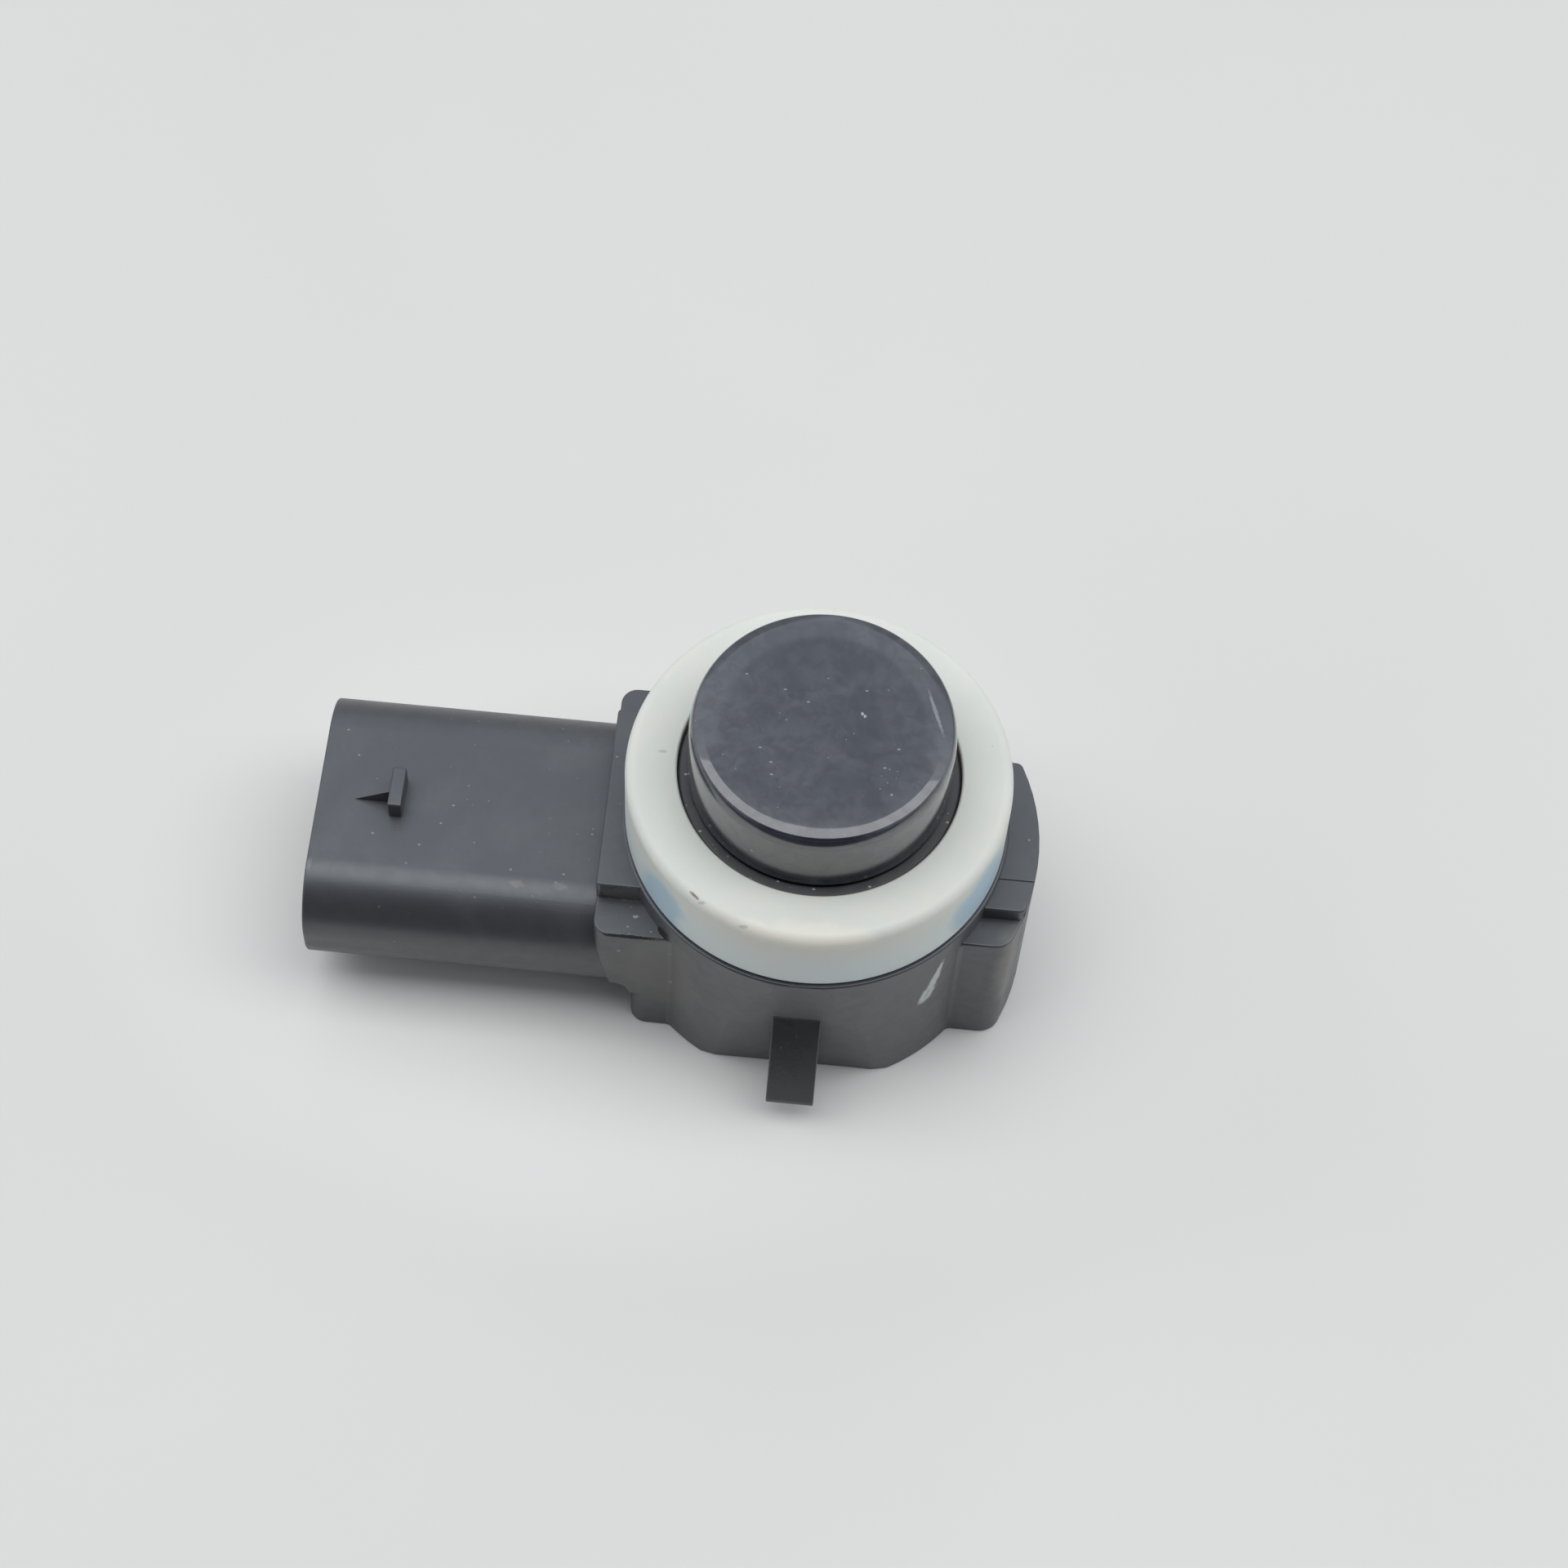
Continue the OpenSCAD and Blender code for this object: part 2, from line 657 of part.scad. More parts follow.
// Terminal from its pointed tip in the socket to its leg through the circuit board
module terminal(i) {
    z0 = shroud_z - term_t / 2;
    z1 = shroud_z + term_t / 2;
    color(tin)
        translate([0, i * term_pitch, 0]) {
            along_y(-term_w / 2, term_w / 2)
                polygon([[tip_x, shroud_z - term_t / 6], [tip_x, shroud_z + term_t / 6],
                    [tip_x + taper_len, z1], [-leg_reach - bend_r - term_t / 2, z1],
                    [-leg_reach - bend_r - term_t / 2, z0], [tip_x + taper_len, z0]]);
            translate([-leg_reach - bend_r - term_t / 2, leg_w / 2, z0 - bend_r])
                rotate([90, 0, 0])
                    rotate_extrude(angle = 90) translate([bend_r, 0]) square([term_t, leg_w]);
            translate([-leg_reach - term_t / 2, -leg_w / 2, leg_foot])
                cube([term_t, leg_w, z0 - bend_r - leg_foot]);
        }
}

module terminal_1() terminal(-1);

module terminal_2() terminal(0);

module terminal_3() terminal(1);

housing();
rear_cover();
decoupling_ring();
membrane_pot();
pot_sleeve();
piezo_disc();
damping_foam();
contact_carrier();
contact_pin_signal();
contact_pin_ground();
signal_wire();
ground_wire();
circuit_board();
sensor_chip();
transformer_core();
transformer_bobbin();
transformer_winding();
storage_capacitor();
ceramic_capacitors();
chip_resistors();
protection_diode();
terminal_1();
terminal_2();
terminal_3();
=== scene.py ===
"""Parking sensor: moulded housing, painted pot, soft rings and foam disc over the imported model."""
import math

import bmesh
import bpy
from mathutils import Matrix, Vector


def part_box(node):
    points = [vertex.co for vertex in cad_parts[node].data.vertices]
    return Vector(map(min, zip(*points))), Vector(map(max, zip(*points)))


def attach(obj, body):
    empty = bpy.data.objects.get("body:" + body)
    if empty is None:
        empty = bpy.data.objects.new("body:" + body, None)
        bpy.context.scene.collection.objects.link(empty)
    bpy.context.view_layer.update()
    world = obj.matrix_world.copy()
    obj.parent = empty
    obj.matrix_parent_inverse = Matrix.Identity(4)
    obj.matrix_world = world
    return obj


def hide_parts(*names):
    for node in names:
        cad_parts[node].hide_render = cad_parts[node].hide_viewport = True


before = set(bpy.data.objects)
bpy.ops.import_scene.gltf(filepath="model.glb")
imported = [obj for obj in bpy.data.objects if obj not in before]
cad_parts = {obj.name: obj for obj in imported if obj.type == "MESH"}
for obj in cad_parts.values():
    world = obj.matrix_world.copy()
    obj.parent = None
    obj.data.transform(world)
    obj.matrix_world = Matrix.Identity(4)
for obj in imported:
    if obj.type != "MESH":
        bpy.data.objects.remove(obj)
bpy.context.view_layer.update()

MM = 0.001

# Steps round a turned piece, of a quarter round, of the shroud's corners, of the pot's crease and of bevels
TURN_STEPS = 180
ROUND_STEPS = 10
SHROUD_STEPS = 28
CREASE_STEPS = 4
BEVEL_STEPS = 3
SMALL_EDGE_STEPS = 2

# Angles in degrees: edges that get rounded, and edges that stay crisp in the shading
ROUNDED_ANGLE = 35
SMALL_EDGE_ANGLE = 40
TURNED_CREASE = 40
HOUSING_CREASE = 32

# Edge radii of the soft rings and of the foam disc, the sleeve's lip under the pot's skirt, and the crown of
# the disc's rear face, with the shares of its radius where the crown has a point
RING_EDGE = 0.7 * MM
RING_FOOT = 0.35 * MM
RING_MOUTH = 0.16 * MM
SLEEVE_EDGE = 0.2 * MM
SLEEVE_LIP = 0.9 * MM
FOAM_EDGE = 0.4 * MM
FOAM_CROWN = 0.12 * MM
FOAM_SHARES = (0, 0.25, 0.5, 0.75)

# Step inside the white ring, where the housing's collar stands
BORE_GAP = 0.04 * MM
COLLAR_WALL = 1.2 * MM
COLLAR_HEIGHT = 3.4 * MM

# Crown of the membrane pot: a face that dips a little at its rim, a crisp crease, a sloping shoulder and an
# oval edge that runs down into the wall
DIP_START = 5.6 * MM
DIP_TILT = 5
SHOULDER_WIDTH = 0.8 * MM
SHOULDER_TILT = 16
CREASE_R = 0.25 * MM
CROWN_EDGE = 0.35 * MM
CROWN_DROP = 1.1 * MM
NECK_IN = 0.25 * MM
NECK_RISE = 0.1 * MM
MEMBRANE = 0.7 * MM
POT_WALL = 1.2 * MM
SKIRT_DEPTH = 2.6 * MM
CAVITY_FLATS = 9.2 * MM

# Round core with two flats that lean in towards the rear face
CORE_R = 11.65 * MM
FLATS = 20.6 * MM
LEDGE = 11.6 * MM

# Plane that takes off the lower corner beside each flat, and the fillet where a block runs into the core,
# with the share of the core's radius that its root reaches in to
CORNER_TURN = 76
CORNER_CUT = 0.15 * MM
CORNER_RISE = 8 * MM
FILLET = 0.6 * MM
FILLET_DROP = 0.2 * MM
FILLET_ROOT = 0.9

# What tells the core's leaning flats from other faces: parts of the normal, and the least turn at a border
FLAT_MOST_X = 0.01
FLAT_LEAST_Y = 0.9
FLAT_MOST_Z = -0.05
FLAT_LEAST_TURN = 2

# Block on the plug's side, with its ledge, its hollow over the shroud and its raised bar
BLOCK_REACH = 12.6 * MM
FOOT_REACH = 10.4 * MM
BLOCK_SIDE = 8.55 * MM
BLOCK_CORNER = 1.0 * MM
BAR_SIDE = 6.1 * MM
BAR_CORNER = 0.25 * MM
HOLLOW_R = 1.2 * MM
HOLLOW_Z = 5.25 * MM
LEAN_DROP = 1.6 * MM

# Block on the round side, with its curved end wall and its bar that steps down at the near end
END_R = 13.55 * MM
END_OFFSET = -0.9 * MM
END_SIDE = 7.0 * MM
END_CORNER = 1.3 * MM
END_BAR_SIDE = 5.1 * MM
END_BAR_CORNER = 0.5 * MM
END_BAR_Z = 12.8 * MM
END_STEP_LENGTH = 2.1 * MM
END_STEP_DROP = 0.08 * MM

# Plug shroud, its socket and the lock nose on top
MOUTH = 30.3 * MM
SHROUD_SIDE = 8.15 * MM
SHROUD_RISE = 4.1 * MM
SHROUD_R = 3.6 * MM
SHROUD_Z = 6.35 * MM
SHROUD_WALL = 1.3 * MM
SOCKET_DEPTH = 12 * MM
LOCK_REACH = 25.4 * MM
LOCK_SIDE = 1.35 * MM
LOCK_THICK = 0.85 * MM
LOCK_RISE = 1.4 * MM
RAMP_LENGTH = 2.2 * MM
RAMP_SIDE = 0.375 * MM

# Latch noses
NOSE_SIDE = 1.45 * MM
NOSE_TOP = 9.5 * MM
NOSE_OUT = 3.8 * MM
NOSE_LIFT = 2.1 * MM
NOSE_FACE = 0.5 * MM

# Hollows of the housing
RECESS_R = 9.4 * MM
RECESS_TOP = 1.2 * MM
BOARD_R = 8.6 * MM
BOARD_TOP = 4.4 * MM
BAY_R = 7.8 * MM
BAY_TOP = 11.2 * MM
WINDOW_R = 5.85 * MM
SLOT_PITCH = 3.5 * MM
SLOT_SIDE = 0.63 * MM
SLOT_RISE = 0.345 * MM
SLOT_END = 6 * MM

# Overlap that joins or cuts solids cleanly, and how far a joined block stays behind the core's faces
LAP = 0.5 * MM
STEP_IN = 0.02 * MM

# Margins of the tests that pick edges by place, and reach within which points are merged
PICK_NEAR = 0.1 * MM
PICK_AT = 0.01 * MM
MERGE_REACH = 0.001 * MM
WELD_REACH = 0.002 * MM

# Rounded edges of the hard pieces
HOUSING_EDGE = 0.14 * MM
FINE_EDGE = 0.08 * MM
LOCK_EDGE = 0.13 * MM
MOUTH_EDGE = 0.25 * MM
SMALL_EDGE = 0.05 * MM

# Places of the marks that the object shows and of the painted light and shade, in millimetres, and turns of
# the long ones, in degrees
PLASTIC_SPECKS = (
    (-29.1, 4.4, 10.45), (-28.2, 2.7, 10.45), (-22.0, -0.2, 10.45), (-26.6, -2.6, 10.45),
    (-23.7, -3.1, 10.45), (-22.6, -1.5, 10.45), (-18.0, -4.2, 10.45), (-14.8, -4.2, 10.45),
    (-13.4, -1.3, 10.45), (-12.3, 2.7, 13.2), (-24.7, -8.1, 7.2), (-7.9, -8.6, 9.9),
    (12.9, -0.2, 12.8), (-10.5, -7.9, 11.6), (-9.1, -8.1, 11.6))
PLASTIC_FLECKS = ((-10.1, -7.2, 11.6), (-11.0, -8.5, 9.6), (-7.8, -8.6, 6.2))
YELLOW_SMEARS = ((-17.5, -5.1, 10.4), (-14.9, -5.0, 10.4))
LEDGE_CRACK = (-10.5, -8.55, 11.5)
LEDGE_SCRATCH = (-8.35, -8.2, 11.6)
SCRATCH_TURN = -40
# Painted reflection on the near end of the bar on the plug's side
BAR_END_REFLECTION = (-10.4, -6.1, 12.3)
# Painted light: lighter olive tones on the near wall of the plug side's block and on the near corner of the
# round side's block
LEFT_WALL_LIGHT = (-8.6, -8.8, 7.6)
RIGHT_CORNER_LIGHT = (12.7, -6.2, 8.2)
WORN_EDGES = ((13.35, -3.0, 12.15), (13.22, -3.75, 12.05), (13.02, -4.55, 11.95))
MOUTH_WEAR = (-30.1, -5.1, 10.4)
SCUFF_TOP = (8.1, -8.4, 10.3)
SCUFF_MIDDLE = (7.95, -8.52, 9.5)
SCUFF_FOOT = (7.65, -8.8, 8.25)
SCUFF_FACING = (0.68, -0.73, 0)
SCUFF_TURN = 16
PAINT_SPECKS = (
    (-2.8, -2.9, 24.0), (-3.5, -2.0, 24.0), (3.7, -2.6, 24.0), (4.4, -1.3, 24.0), (4.2, -4.3, 24.0),
    (-2.7, -3.7, 24.0), (-1.0, 1.3, 24.0), (-2.4, 2.0, 24.0), (2.3, 2.4, 24.0), (-4.7, 2.8, 24.0))
PAINT_FLECKS = ((2.15, 0.85, 24.0), (2.3, 0.7, 24.0), (-3.45, -6.93, 20.7))
# Painted highlight: a pale streak at the pot's rim
RIM_HIGHLIGHT = (6.35, 1.4, 24.0)
RIM_HIGHLIGHT_TURN = -20
RING_NICK = (-6.5, -9.05, 18.57)
NICK_TURN = -49
RING_MARKS = ((-3.5, -10.7, 18.45), (-9.3, 0.2, 18.7), (-6.0, -9.45, 18.5))
# Painted shade: two bluish patches low on the white ring's wall
WALL_SHADE_LEFT = (-8.6, -7.5, 14.9)
WALL_SHADE_RIGHT = (10.2, -5.2, 15.6)
# Painted light: a lighter cream band on the near edge of the white ring
CREAM_EDGE_LIGHT = (0.5, -11.0, 18.4)
SLEEVE_LINT = (
    (-7.8, -1.0, 18.35), (-6.6, -4.7, 18.35), (-1.8, -7.5, 18.35), (0.3, -7.8, 18.35), (3.5, -7.3, 18.35),
    (7.7, -2.6, 18.35))

# Reach of each kind of mark and of the painted light and shade, in millimetres
SPECK_REACH = (0.1, 0.07, 0.08)
FLECK_REACH = (0.19, 0.13, 0.13)
SMEAR_REACH = (0.55, 0.3, 0.3)
CRACK_REACH = (2.3, 0.14, 0.16)
SCRATCH_REACH = (0.14, 0.62, 0.3)
# Reach of the painted reflection on the bar's end
BAR_END_REFLECTION_REACH = (2.4, 0.2, 1.0)
# Reach of the painted light on the two walls
LEFT_WALL_LIGHT_REACH = (3.8, 2.4, 5.5)
RIGHT_CORNER_LIGHT_REACH = (1.6, 1.6, 5.5)
WORN_EDGE_REACH = (0.3, 0.6, 0.6)
MOUTH_WEAR_REACH = (0.22, 0.5, 0.2)
SCUFF_TOP_REACH = (0.29, 0.29, 1.5)
SCUFF_MIDDLE_REACH = (0.43, 0.43, 1.7)
SCUFF_FOOT_REACH = (0.68, 0.68, 1.25)
SCUFF_CORE_REACH = (0.2, 0.2, 0.7)
PAINT_SPECK_REACH = (0.12, 0.07, 0.08)
PAINT_FLECK_REACH = (0.1, 0.13, 0.1)
# Reach of the painted highlight at the pot's rim
RIM_HIGHLIGHT_REACH = (0.13, 1.8, 0.4)
NICK_REACH = (0.09, 0.5, 0.25)
RING_MARK_REACH = (0.35, 0.12, 0.2)
# Reach of the painted shade patches on the ring's wall
WALL_SHADE_LEFT_REACH = (2.6, 2.6, 2.8)
WALL_SHADE_RIGHT_REACH = (3.6, 3.6, 3.0)
# Reach of the painted light on the ring's near edge
CREAM_LIGHT_REACH = (6.5, 1.2, 1.0)
LINT_REACH = (0.11, 0.08, 0.1)

# Base colours of the moulded plastic, of what lies on it and of its painted light and shade
PLASTIC_DARK = (0.034, 0.035, 0.039)
PLASTIC_LIGHT = (0.047, 0.047, 0.050)
PLASTIC_MOTTLE = (0.020, 0.021, 0.024)
# Painted light in olive tones on the near wall of the plug side's block and the near corner of the round
# side's block
LEFT_WALL_LIGHT_TONE = (0.082, 0.079, 0.060)
RIGHT_CORNER_LIGHT_TONE = (0.105, 0.098, 0.078)
SMEAR_TONE = (0.16, 0.145, 0.10)
# Painted reflection on the near end of the bar on the plug's side
BAR_END_REFLECTION_TONE = (0.12, 0.117, 0.11)
# Painted shade on the latch noses
NOSE_SHADE_TONE = (0.012, 0.012, 0.013)
BARE_TONE = (0.006, 0.006, 0.006)
PLASTIC_DUST = (0.30, 0.30, 0.28)
MOUTH_WEAR_TONE = (0.14, 0.14, 0.14)
SCUFF_TONE = (0.44, 0.47, 0.43)
SCUFF_CORE_TONE = (0.24, 0.27, 0.24)

# Base colours of the slate paint, of what lies on it and of its painted highlight
PAINT_DARK = (0.017, 0.020, 0.030)
PAINT_LIGHT = (0.044, 0.047, 0.058)
PAINT_MOTTLE = (0.009, 0.011, 0.018)
PAINT_DUST = (0.36, 0.36, 0.35)
# Painted highlight at the pot's rim
RIM_HIGHLIGHT_TONE = (0.22, 0.225, 0.24)

# Base colours of the white silicone, its clouds, its marks and its painted light and shade
MILKY_DARK = (0.58, 0.595, 0.54)
MILKY_LIGHT = (0.63, 0.635, 0.575)
MILKY_BLUSH = (0.64, 0.595, 0.54)
# Painted light on the ring's near edge
CREAM_LIGHT_TONE = (0.70, 0.675, 0.575)
# Painted shade on the ring's wall and in two patches on it
WALL_SHADE_TONE = (0.56, 0.65, 0.68)
WALL_SHADE_PATCH_TONE = (0.36, 0.50, 0.58)
RING_MARK_TONE = (0.30, 0.29, 0.25)
NICK_TONE = (0.17, 0.135, 0.08)
RING_DUST = (0.28, 0.27, 0.25)

# Base colours of the black silicone and its dust
SLEEVE_DARK = (0.043, 0.042, 0.046)
SLEEVE_LIGHT = (0.070, 0.068, 0.070)
SLEEVE_DUST = (0.36, 0.35, 0.33)

# Base colours of the board's lacquer and of the enamelled wire, between their bands, on them and in clouds
LACQUER_DARK = (0.016, 0.10, 0.042)
LACQUER_LIGHT = (0.03, 0.17, 0.075)
LACQUER_CLOUD = (0.02, 0.13, 0.05)
ENAMEL_DARK = (0.22, 0.075, 0.025)
ENAMEL_LIGHT = (0.62, 0.27, 0.11)
ENAMEL_CLOUD = (0.4, 0.15, 0.06)

# Upward parts of a face's normal between which dust settles more and more, and its share at each
DUST_TILT = (0.2, 0.8)
DUST_SHARE = (0.08, 0.3)

# Finer grain against the coarse one: its scale and its share
FINE_GRAIN_SCALE = 2.7
FINE_GRAIN_SHARE = 0.5

# Solid middle of a speck as a share of its reach, and ragged grains across a mark's width
SPECK_CORE = 0.6
MARK_GRAINS = 1.1

# Heights between which the white ring's wall turns bluish with painted shade
WALL_SHADE_TOP = 17.9 * MM
WALL_SHADE_FOOT = 14.6 * MM

# Pitch of the board's glass weave and of the winding's turns, and radians of a wave texture in one unit
WEAVE = 0.5 * MM
WIRE_TURN = 0.16 * MM
WAVE_RADIANS = 20

# Kinds of socket on the shader groups
VECTOR = "NodeSocketVector"
NUMBER = "NodeSocketFloat"

# Height under which, distance out from which and half width within which a latch nose is darkened and made
# glossier with painted shade
NOSE_SHADE_TOP = (8.6 * MM, 8.5 * MM)
NOSE_SHADE_OUT = (11.12 * MM, 11.22 * MM)
NOSE_SHADE_HALF = (NOSE_SIDE + 0.06 * MM, NOSE_SIDE + 0.02 * MM)

# Floor with a painted pool of light near the object, a dark card that paints shade into the object's
# reflections, sky and overhead lamp, with places and sizes in metres
FLOOR_SIZE = 8
FLOOR_GAP = 0.02 * MM
FLOOR_PATCH = (0.76, 0.76, 0.745)
# Painted light: the floor's tone in a pool near the object is paler, which offsets the object's shade on it
FLOOR_PAINTED_POOL = (0.735, 0.72, 0.685)
FLOOR_FAR = (0.625, 0.608, 0.572)
FLOOR_SIDE_EDGES = (-0.03, 0.03)
FLOOR_ROUND_EDGES = (0.03, 0.065)
FLOOR_SEEN = (0.598, 0.584, 0.55)
FLOOR_SEEN_MIDDLE = (-0.008, 0, 0)
FLOOR_SEEN_SHAPE = (0.65, 1, 1)
FLOOR_SEEN_EDGES = (0.013, 0.028)
FLOOR_LIGHT = (0.725, 0.73, 0.715)
# Painted shade: tone of the card that darkens the object's reflections of the table in front
CARD_SHADE_TONE = (0.05, 0.05, 0.052)
CARD_START = -0.035
CARD_LENGTH = 0.3
CARD_WIDTH = 0.8
SKY_NEAR = (0.07, 0.07, 0.075)
SKY_MIDDLE = (0.585, 0.635, 0.72)
SKY_BAND = (1.12, 1.20, 1.32)
SKY_FAR = (0.50, 0.51, 0.52)
SKY_SIDE_SHARE = 0.6
SKY_NEAR_EDGES = (-0.42, -0.12)
SKY_BAND_EDGES = (0.52, 0.59)
SKY_FAR_EDGES = (0.92, 0.99)
STRIP_PLACE = (0, 0.014, 0.5)
STRIP_WIDTH = 1.15
STRIP_DEPTH = 0.287
STRIP_LEVEL = 2.42

# Camera that took the photograph
VIEW_TURN = math.radians(1.47)
VIEW_RISE = math.radians(60.42)
VIEW_ROLL = math.radians(4.04)
VIEW_DISTANCE = 219.7 * MM
VIEW_TARGET = Vector((-2.25, 8.06, 2.3)) * MM
CLIP_START = 10 * MM
SENSOR_WIDTH = 36
FOCAL_PIXELS = 4204
FRAME_PIXELS = 1920


def clear_selection():
    if bpy.context.object and bpy.context.object.mode != "OBJECT":
        bpy.ops.object.mode_set(mode="OBJECT")
    bpy.ops.object.select_all(action="DESELECT")


def activate(piece):
    clear_selection()
    piece.select_set(True)
    bpy.context.view_layer.objects.active = piece


def apply_modifier(piece, name):
    activate(piece)
    bpy.ops.object.modifier_apply(modifier=name)


def box_of(node):
    low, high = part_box(node)
    return Vector(low), Vector(high)


def quarter(middle_r, middle_z, radius, start, end, steps=ROUND_STEPS):
    """Points of an arc in an outline, angles in degrees from its first axis to its second."""
    points = []
    for step in range(steps + 1):
        angle = math.radians(start + (end - start) * step / steps)
        points.append((middle_r + radius * math.cos(angle), middle_z + radius * math.sin(angle)))
    return points


def turned(name, outline):
    """Closed outline of radius and height, drawn by extruding one vertex and spun round the axis."""
    clear_selection()
    bpy.ops.mesh.primitive_plane_add(size=MM)
    piece = bpy.context.object
    piece.name = name
    bpy.ops.object.mode_set(mode="EDIT")
    bpy.ops.mesh.select_mode(type="VERT")
    bpy.ops.mesh.select_all(action="SELECT")
    bpy.ops.mesh.merge(type="CENTER")
    bpy.ops.transform.translate(value=(outline[0][0], 0, outline[0][1]))
    for (r0, z0), (r1, z1) in zip(outline, outline[1:]):
        bpy.ops.mesh.extrude_vertices_move(TRANSFORM_OT_translate={"value": (r1 - r0, 0, z1 - z0)})
    if outline[0][0] > 0:
        mesh = bmesh.from_edit_mesh(piece.data)
        mesh.verts.ensure_lookup_table()
        mesh.verts[0].select = True
        bmesh.update_edit_mesh(piece.data)
        bpy.ops.mesh.edge_face_add()
    bpy.ops.mesh.select_all(action="SELECT")
    bpy.ops.mesh.spin(steps=TURN_STEPS, angle=math.tau, center=(0, 0, 0), axis=(0, 0, 1))
    bpy.ops.mesh.select_all(action="SELECT")
    bpy.ops.mesh.remove_doubles(threshold=MERGE_REACH)
    bpy.ops.mesh.normals_make_consistent(inside=False)
    bpy.ops.object.mode_set(mode="OBJECT")
    bpy.ops.object.shade_smooth_by_angle(angle=math.radians(TURNED_CREASE))
    return piece


def white_ring():
    low, high = box_of("decoupling_ring")
    rim, top, foot = high.x, high.z, low.z
    mouth = box_of("pot_sleeve")[1].x + BORE_GAP
    bore = mouth + COLLAR_WALL + BORE_GAP
    shelf = foot + COLLAR_HEIGHT + BORE_GAP
    outline = quarter(mouth + RING_MOUTH, top - RING_MOUTH, RING_MOUTH, 180, 90)
    outline += quarter(rim - RING_EDGE, top - RING_EDGE, RING_EDGE, 90, 0)
    outline += quarter(rim - RING_FOOT, foot + RING_FOOT, RING_FOOT, 0, -90)
    outline += [(bore, foot), (bore, shelf), (mouth, shelf)]
    return turned("white_ring", outline)


def black_sleeve():
    low, high = box_of("pot_sleeve")
    pot_low, pot_high = box_of("membrane_pot")
    out, top, foot = high.x, high.z, low.z
    inner = pot_high.x - NECK_IN + BORE_GAP
    lip_in = pot_high.x - NECK_IN - SLEEVE_LIP
    outline = quarter(inner + SLEEVE_EDGE, top - SLEEVE_EDGE, SLEEVE_EDGE, 180, 90)
    outline += quarter(out - SLEEVE_EDGE, top - SLEEVE_EDGE, SLEEVE_EDGE, 90, 0)
    outline += [(out, foot), (lip_in, foot), (lip_in, pot_low.z), (inner, pot_low.z)]
    return turned("black_sleeve", outline)


def foam_disc():
    """Absorber behind the piezo disc: flat where it rests, with soft edges and a crowned rear face."""
    low, high = box_of("damping_foam")
    rim, top, foot = high.x, high.z, low.z
    face = rim - FOAM_EDGE
    outline = [(face * share, foot + FOAM_CROWN * share ** 2) for share in FOAM_SHARES]
    outline += quarter(face, foot + FOAM_CROWN + FOAM_EDGE, FOAM_EDGE, -90, 0)
    outline += quarter(face, top - FOAM_EDGE, FOAM_EDGE, 0, 90)
    outline.append((0, top))
    return turned("foam_disc", outline)


def painted_pot():
    low, high = box_of("membrane_pot")
    wall, top, foot = high.x, high.z, low.z
    neck = wall - NECK_IN
    skirt = wall - POT_WALL
    shoulder_z = box_of("decoupling_ring")[1].z + NECK_RISE
    tilt = math.radians(SHOULDER_TILT)
    dip = math.radians(DIP_TILT)
    dip_r = (wall - SHOULDER_WIDTH - DIP_START) / math.sin(dip)
    edge_r = wall - CROWN_EDGE
    outline = [(0, top)]
    outline += quarter(DIP_START, top - dip_r, dip_r, 90, 90 - DIP_TILT)
    crease_r = outline[-1][0] - CREASE_R * math.sin(dip)
    crease_z = outline[-1][1] - CREASE_R * math.cos(dip)
    outline += quarter(crease_r, crease_z, CREASE_R, 90 - DIP_TILT, 90 - SHOULDER_TILT, CREASE_STEPS)[1:]
    turn = math.atan2(CROWN_DROP, CROWN_EDGE * math.tan(tilt))
    slope = (edge_r + CROWN_EDGE * math.cos(turn) - outline[-1][0]) * math.tan(tilt)
    edge_z = outline[-1][1] - slope - CROWN_DROP * math.sin(turn)
    for across, up in quarter(0, 0, 1, math.degrees(turn), 0, 2 * ROUND_STEPS):
        outline.append((edge_r + CROWN_EDGE * across, edge_z + CROWN_DROP * up))
    outline += [(wall, shoulder_z), (neck, shoulder_z), (neck, foot), (skirt, foot)]
    outline += [(skirt, foot + SKIRT_DEPTH), (0, foot + SKIRT_DEPTH)]
    pot = turned("painted_pot", outline)
    cavity = oval_cutter(skirt, foot + SKIRT_DEPTH - 2 * LAP, top - MEMBRANE)
    cut = pot.modifiers.new("oval_cavity", "BOOLEAN")
    cut.operation = "DIFFERENCE"
    cut.solver = "EXACT"
    cut.object = cavity
    apply_modifier(pot, "oval_cavity")
    bpy.data.objects.remove(cavity)
    activate(pot)
    bpy.ops.object.shade_smooth_by_angle(angle=math.radians(TURNED_CREASE))
    return pot


def oval_cutter(radius, bottom, top):
    """Round bar with two flats, as the cavity behind the membrane."""
    clear_selection()
    bpy.ops.mesh.primitive_cylinder_add(
        vertices=TURN_STEPS, radius=radius, depth=top - bottom, location=(0, 0, (top + bottom) / 2))
    cutter = bpy.context.object
    bpy.ops.object.mode_set(mode="EDIT")
    for side in (-1, 1):
        bpy.ops.mesh.select_all(action="SELECT")
        bpy.ops.mesh.bisect(
            plane_co=(side * CAVITY_FLATS / 2, 0, 0), plane_no=(side, 0, 0), use_fill=True, clear_outer=True)
    bpy.ops.object.mode_set(mode="OBJECT")
    return cutter


def in_plan(z):
    return lambda u, v: Vector((u, v, z))


def in_side(y):
    return lambda u, v: Vector((u, y, v))


def in_section(x):
    return lambda u, v: Vector((x, u, v))


